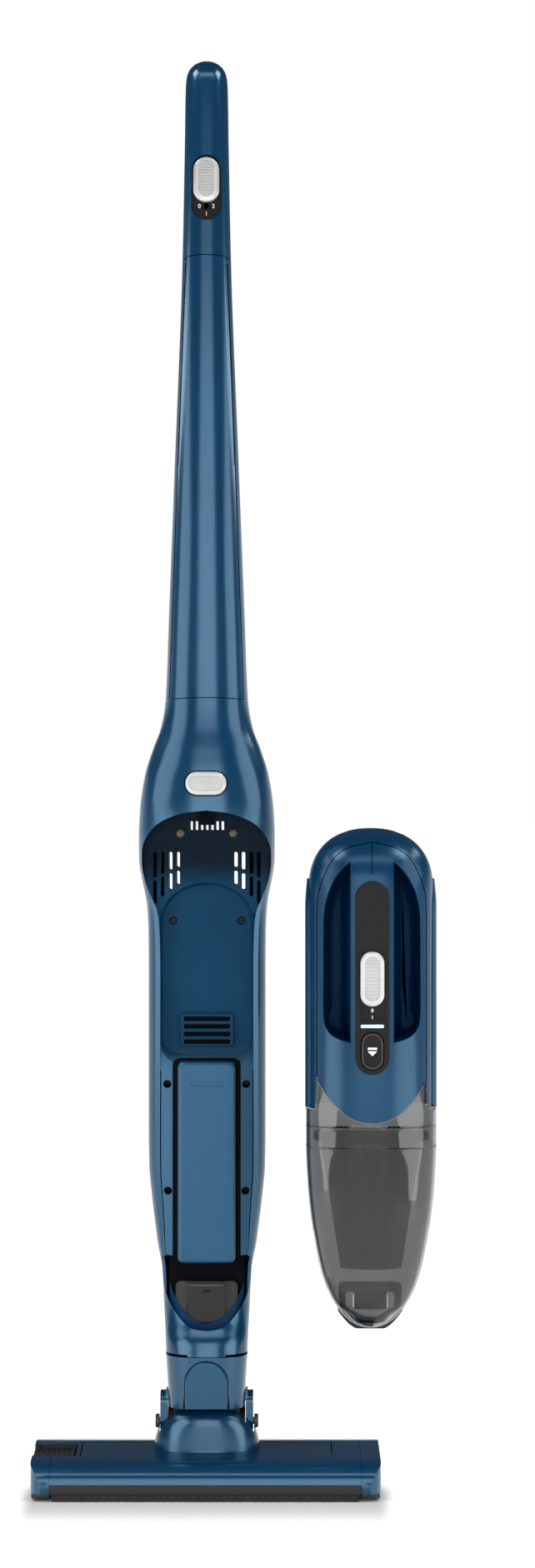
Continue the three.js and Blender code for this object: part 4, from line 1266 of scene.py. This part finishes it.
def make_hand_controls():
    strip = pad("control_strip_skin", -13.4, 13.4, 339.4, 491, 13.3, -79, -83, 1.0)
    cut(strip, prism_y("tool", round_rect(-10.2, 10.2, 382, 437, 4), -90, -81.8))
    cut(strip, block("tool", -1.8, 1.8, -90, -60, 400, 428))
    cut(strip, prism_y("tool", round_rect(-9.4, 9.4, 375.8, 379, 1.2), -90, -60))
    cut(strip, prism_y("tool", round_rect(-9.4, 9.4, 342.7, 373.1, 9.3), -90, -60))
    piece(place_hand(strip), "handheld", "black", "control_strip", bevel=0.25)

    slider = pad("hand_slider_skin", -9.4, 9.4, 393, 436, 9.3, -82.3, -86.5, 1.5, 0.2)
    cut(slider, prism_y("tool", round_rect(-5.9, 5.9, 397.6, 432, 5.4), -95, -85.6))
    piece(place_hand(slider), "hand_knob", "silver", "handheld_switch_knob", bevel=0.3)
    ribs = rib_pad("hand_slider_grip", -5.3, 5.3, 398.2, 431.4, 5, -85.5, -86.3, 2.7, 1.5)
    piece(place_hand(ribs), "hand_knob", "silver_pad", slot="silver_plastic")
    marks = printed("hand_slider_marks", [("0", 0, 389.6, 3.0), ("1", 0, 384.2, 3.0)], -81.8)
    piece(place_hand(marks), "handheld", "white", slot="silver_plastic")

    light = pad("led_window_skin", -9.1, 9.1, 376.1, 378.7, 1.1, -80.9, -83.2, 0.3)
    piece(place_hand(light), "handheld", "glow", "led_window")

    button = pad("eject_button_skin", -9, 9, 343.1, 372.6, 8.9, -74, -84, 1.2, 0.2)
    piece(place_hand(button), "eject_button", "black", "container_release_button")
    rim = pad("eject_button_rim", -7.9, 7.9, 344.2, 371.5, 7.8, -83.4, -84.25, 0.1)
    cut(rim, prism_y("tool", round_rect(-7.2, 7.2, 344.9, 370.8, 7.1), -90, -80))
    piece(place_hand(rim), "eject_button", "grey", slot="grey_plastic")
    icon = prism_y("eject_button_icon", [(-3.6, 358), (0, 354.2), (3.6, 358)], -84.3, -83.6)
    merge(icon, block("bar", -3.6, 3.6, -84.3, -83.6, 359.2, 360.8))
    piece(place_hand(icon), "eject_button", "white", slot="silver_plastic")


def make_hand_inside():
    profile = [
        (396, 6.5), (404, 7), (404, 17.6), (406, 18.5),
        (430, 18.5), (431, 17.8), (433, 17.8), (434, 18.5),
    ]
    profile += [(460, 18.5), (462, 17.5), (462, 7), (470, 6.5)]
    motor = turned("suction_motor_skin", profile, lambda z, a, b: (HAND_X + a, -21 + b, z), 48)
    piece(motor, "hand_motor", "steel", "suction_motor")
    for i, (y, z) in enumerate(((-33, 483), (-16.4, 483), (-25, 500.4))):
        cell_profile = [
            (-32.5, 3), (-32.5, 7.2), (-31.9, 7.9), (31, 7.9), (31.6, 7.2), (31.6, 3), (32.4, 2.6)
        ]
        cell = turned_x(f"battery_cell_{i + 1}_skin", y, z, [(HAND_X + x, r) for x, r in cell_profile])
        piece(cell, "handheld", "brown", f"battery_cell_{i + 1}")


# ------------------------------------------------------------------ dust container
CUP_ROWS = [
    (134.8, 3, -39, -36.4),
    (136, 8, -42, -33),
    (139, 14.6, -46, -30.4),
    (144, 20.6, -50, -28),
    (151, 26.4, -53, -26),
    (163, 33.6, -58, -22),
    (181, 40, -63, -18.4),
    (205, 44.9, -69, -16.8),
    (223, 47.8, -73, -16.2),
    (251, 50.5, -76.5, -16),
    (281, 51.8, -79, -16),
    (312, 51.8, -79, -16),
    (334, 49.2, -78, -16),
]


def make_container():
    cup = body_loft("dust_container_skin", CUP_ROWS)
    for z in (281, 297):
        band_rows = [(z - 0.9, 51.6, -78.8, -16), (z, 52, -79.2, -15.8), (z + 0.9, 51.6, -78.8, -16)]
        rings = [
            superellipse(row[0], row[1] + 0.1, (row[2] + row[3]) / 2, (row[3] - row[2]) / 2)
            for row in band_rows
        ]
        join(cup, keep(loft("tool", rings), block("tool", -60, 60, -90, -20, 270, 310)))
    inner = [(z + (2.2 if z < 150 else 0), half, front, rear) for z, half, front, rear in CUP_ROWS[1:-1]]
    cut(cup, body_loft("tool", [*inner, (360, 50.5, -78.4, -16)], 2.2))
    cut(cup, cup_seam(-0.8))
    cut(cup, prism_y("tool", round_rect(-14, 14, 147, 161, 3), -30, -5))
    piece(place_hand(cup), "container", "smoke", "dust_container")

    frame_rows = [(285.8, 44.6, 26.8), (286.6, 46, 28), (291.4, 46, 28), (292.2, 44.6, 26.8)]
    frame = cut(
        loft("filter_frame_skin", [superellipse(z, half, -47.5, depth) for z, half, depth in frame_rows]),
        loft("tool", [superellipse(z, 31, -47.5, 20) for z in (280, 300)]),
    )
    piece(place_hand(frame), "filter_unit", "black", "filter_frame")
    pleats = 30
    rings = []
    for level in range(25):
        t = level / 24
        z = 184 + t * 101.5
        swell = 0.55 * math.sin(t * math.pi * 24) ** 2
        ring = []
        for i in range(pleats * 4):
            angle = 2 * math.pi * i / (pleats * 4)
            fold = (0.93 + 0.07 * math.cos(pleats * angle)) + swell * 0.02
            ring.append((
                (24 + 16 * t) * fold * math.cos(angle),
                -47.5 + (13 + 12 * t) * fold * math.sin(angle),
                z,
            ))
        rings.append(ring)
    cloth = loft("pleated_filter_skin", rings)
    piece(place_hand(cloth), "filter_unit", "filter", "pleated_filter")

    zone = prism_y("tool", notch_outline(-1.2), -60, 0)
    hole = keep(
        prism_y("tool", round_rect(-20, 20, 135, 161, 3), -40, -5),
        prism_y("tool", notch_outline(-4.2), -60, 0),
    )
    mouth = keep(pad("inlet_mouth_skin", -25.8, 25.8, 132, 168, 4, -27, -11.5, 1.2), zone)
    cut(mouth, body_loft("tool", CUP_ROWS, -0.3), hole)
    piece(place_hand(mouth), "container", "brown", "inlet_mouth")
    flap = block("inlet_flap_skin", -13, 13, -32.4, -31.2, 148, 164)
    piece(place_hand(flap), "flap", "black_rubber", "inlet_flap", bevel=0.4)


# ------------------------------------------------------------------ build
make_camera()
MATERIALS = make_materials()
finish_cad_nodes(MATERIALS)
make_stage()
make_stick_casings()
make_bay()
make_handle_controls()
make_dock_controls()
make_bay_details()
make_neck()
make_head()
make_brush()
make_front_fringe()
make_wheels()
make_hand_shells()
make_hand_controls()
make_hand_inside()
make_container()
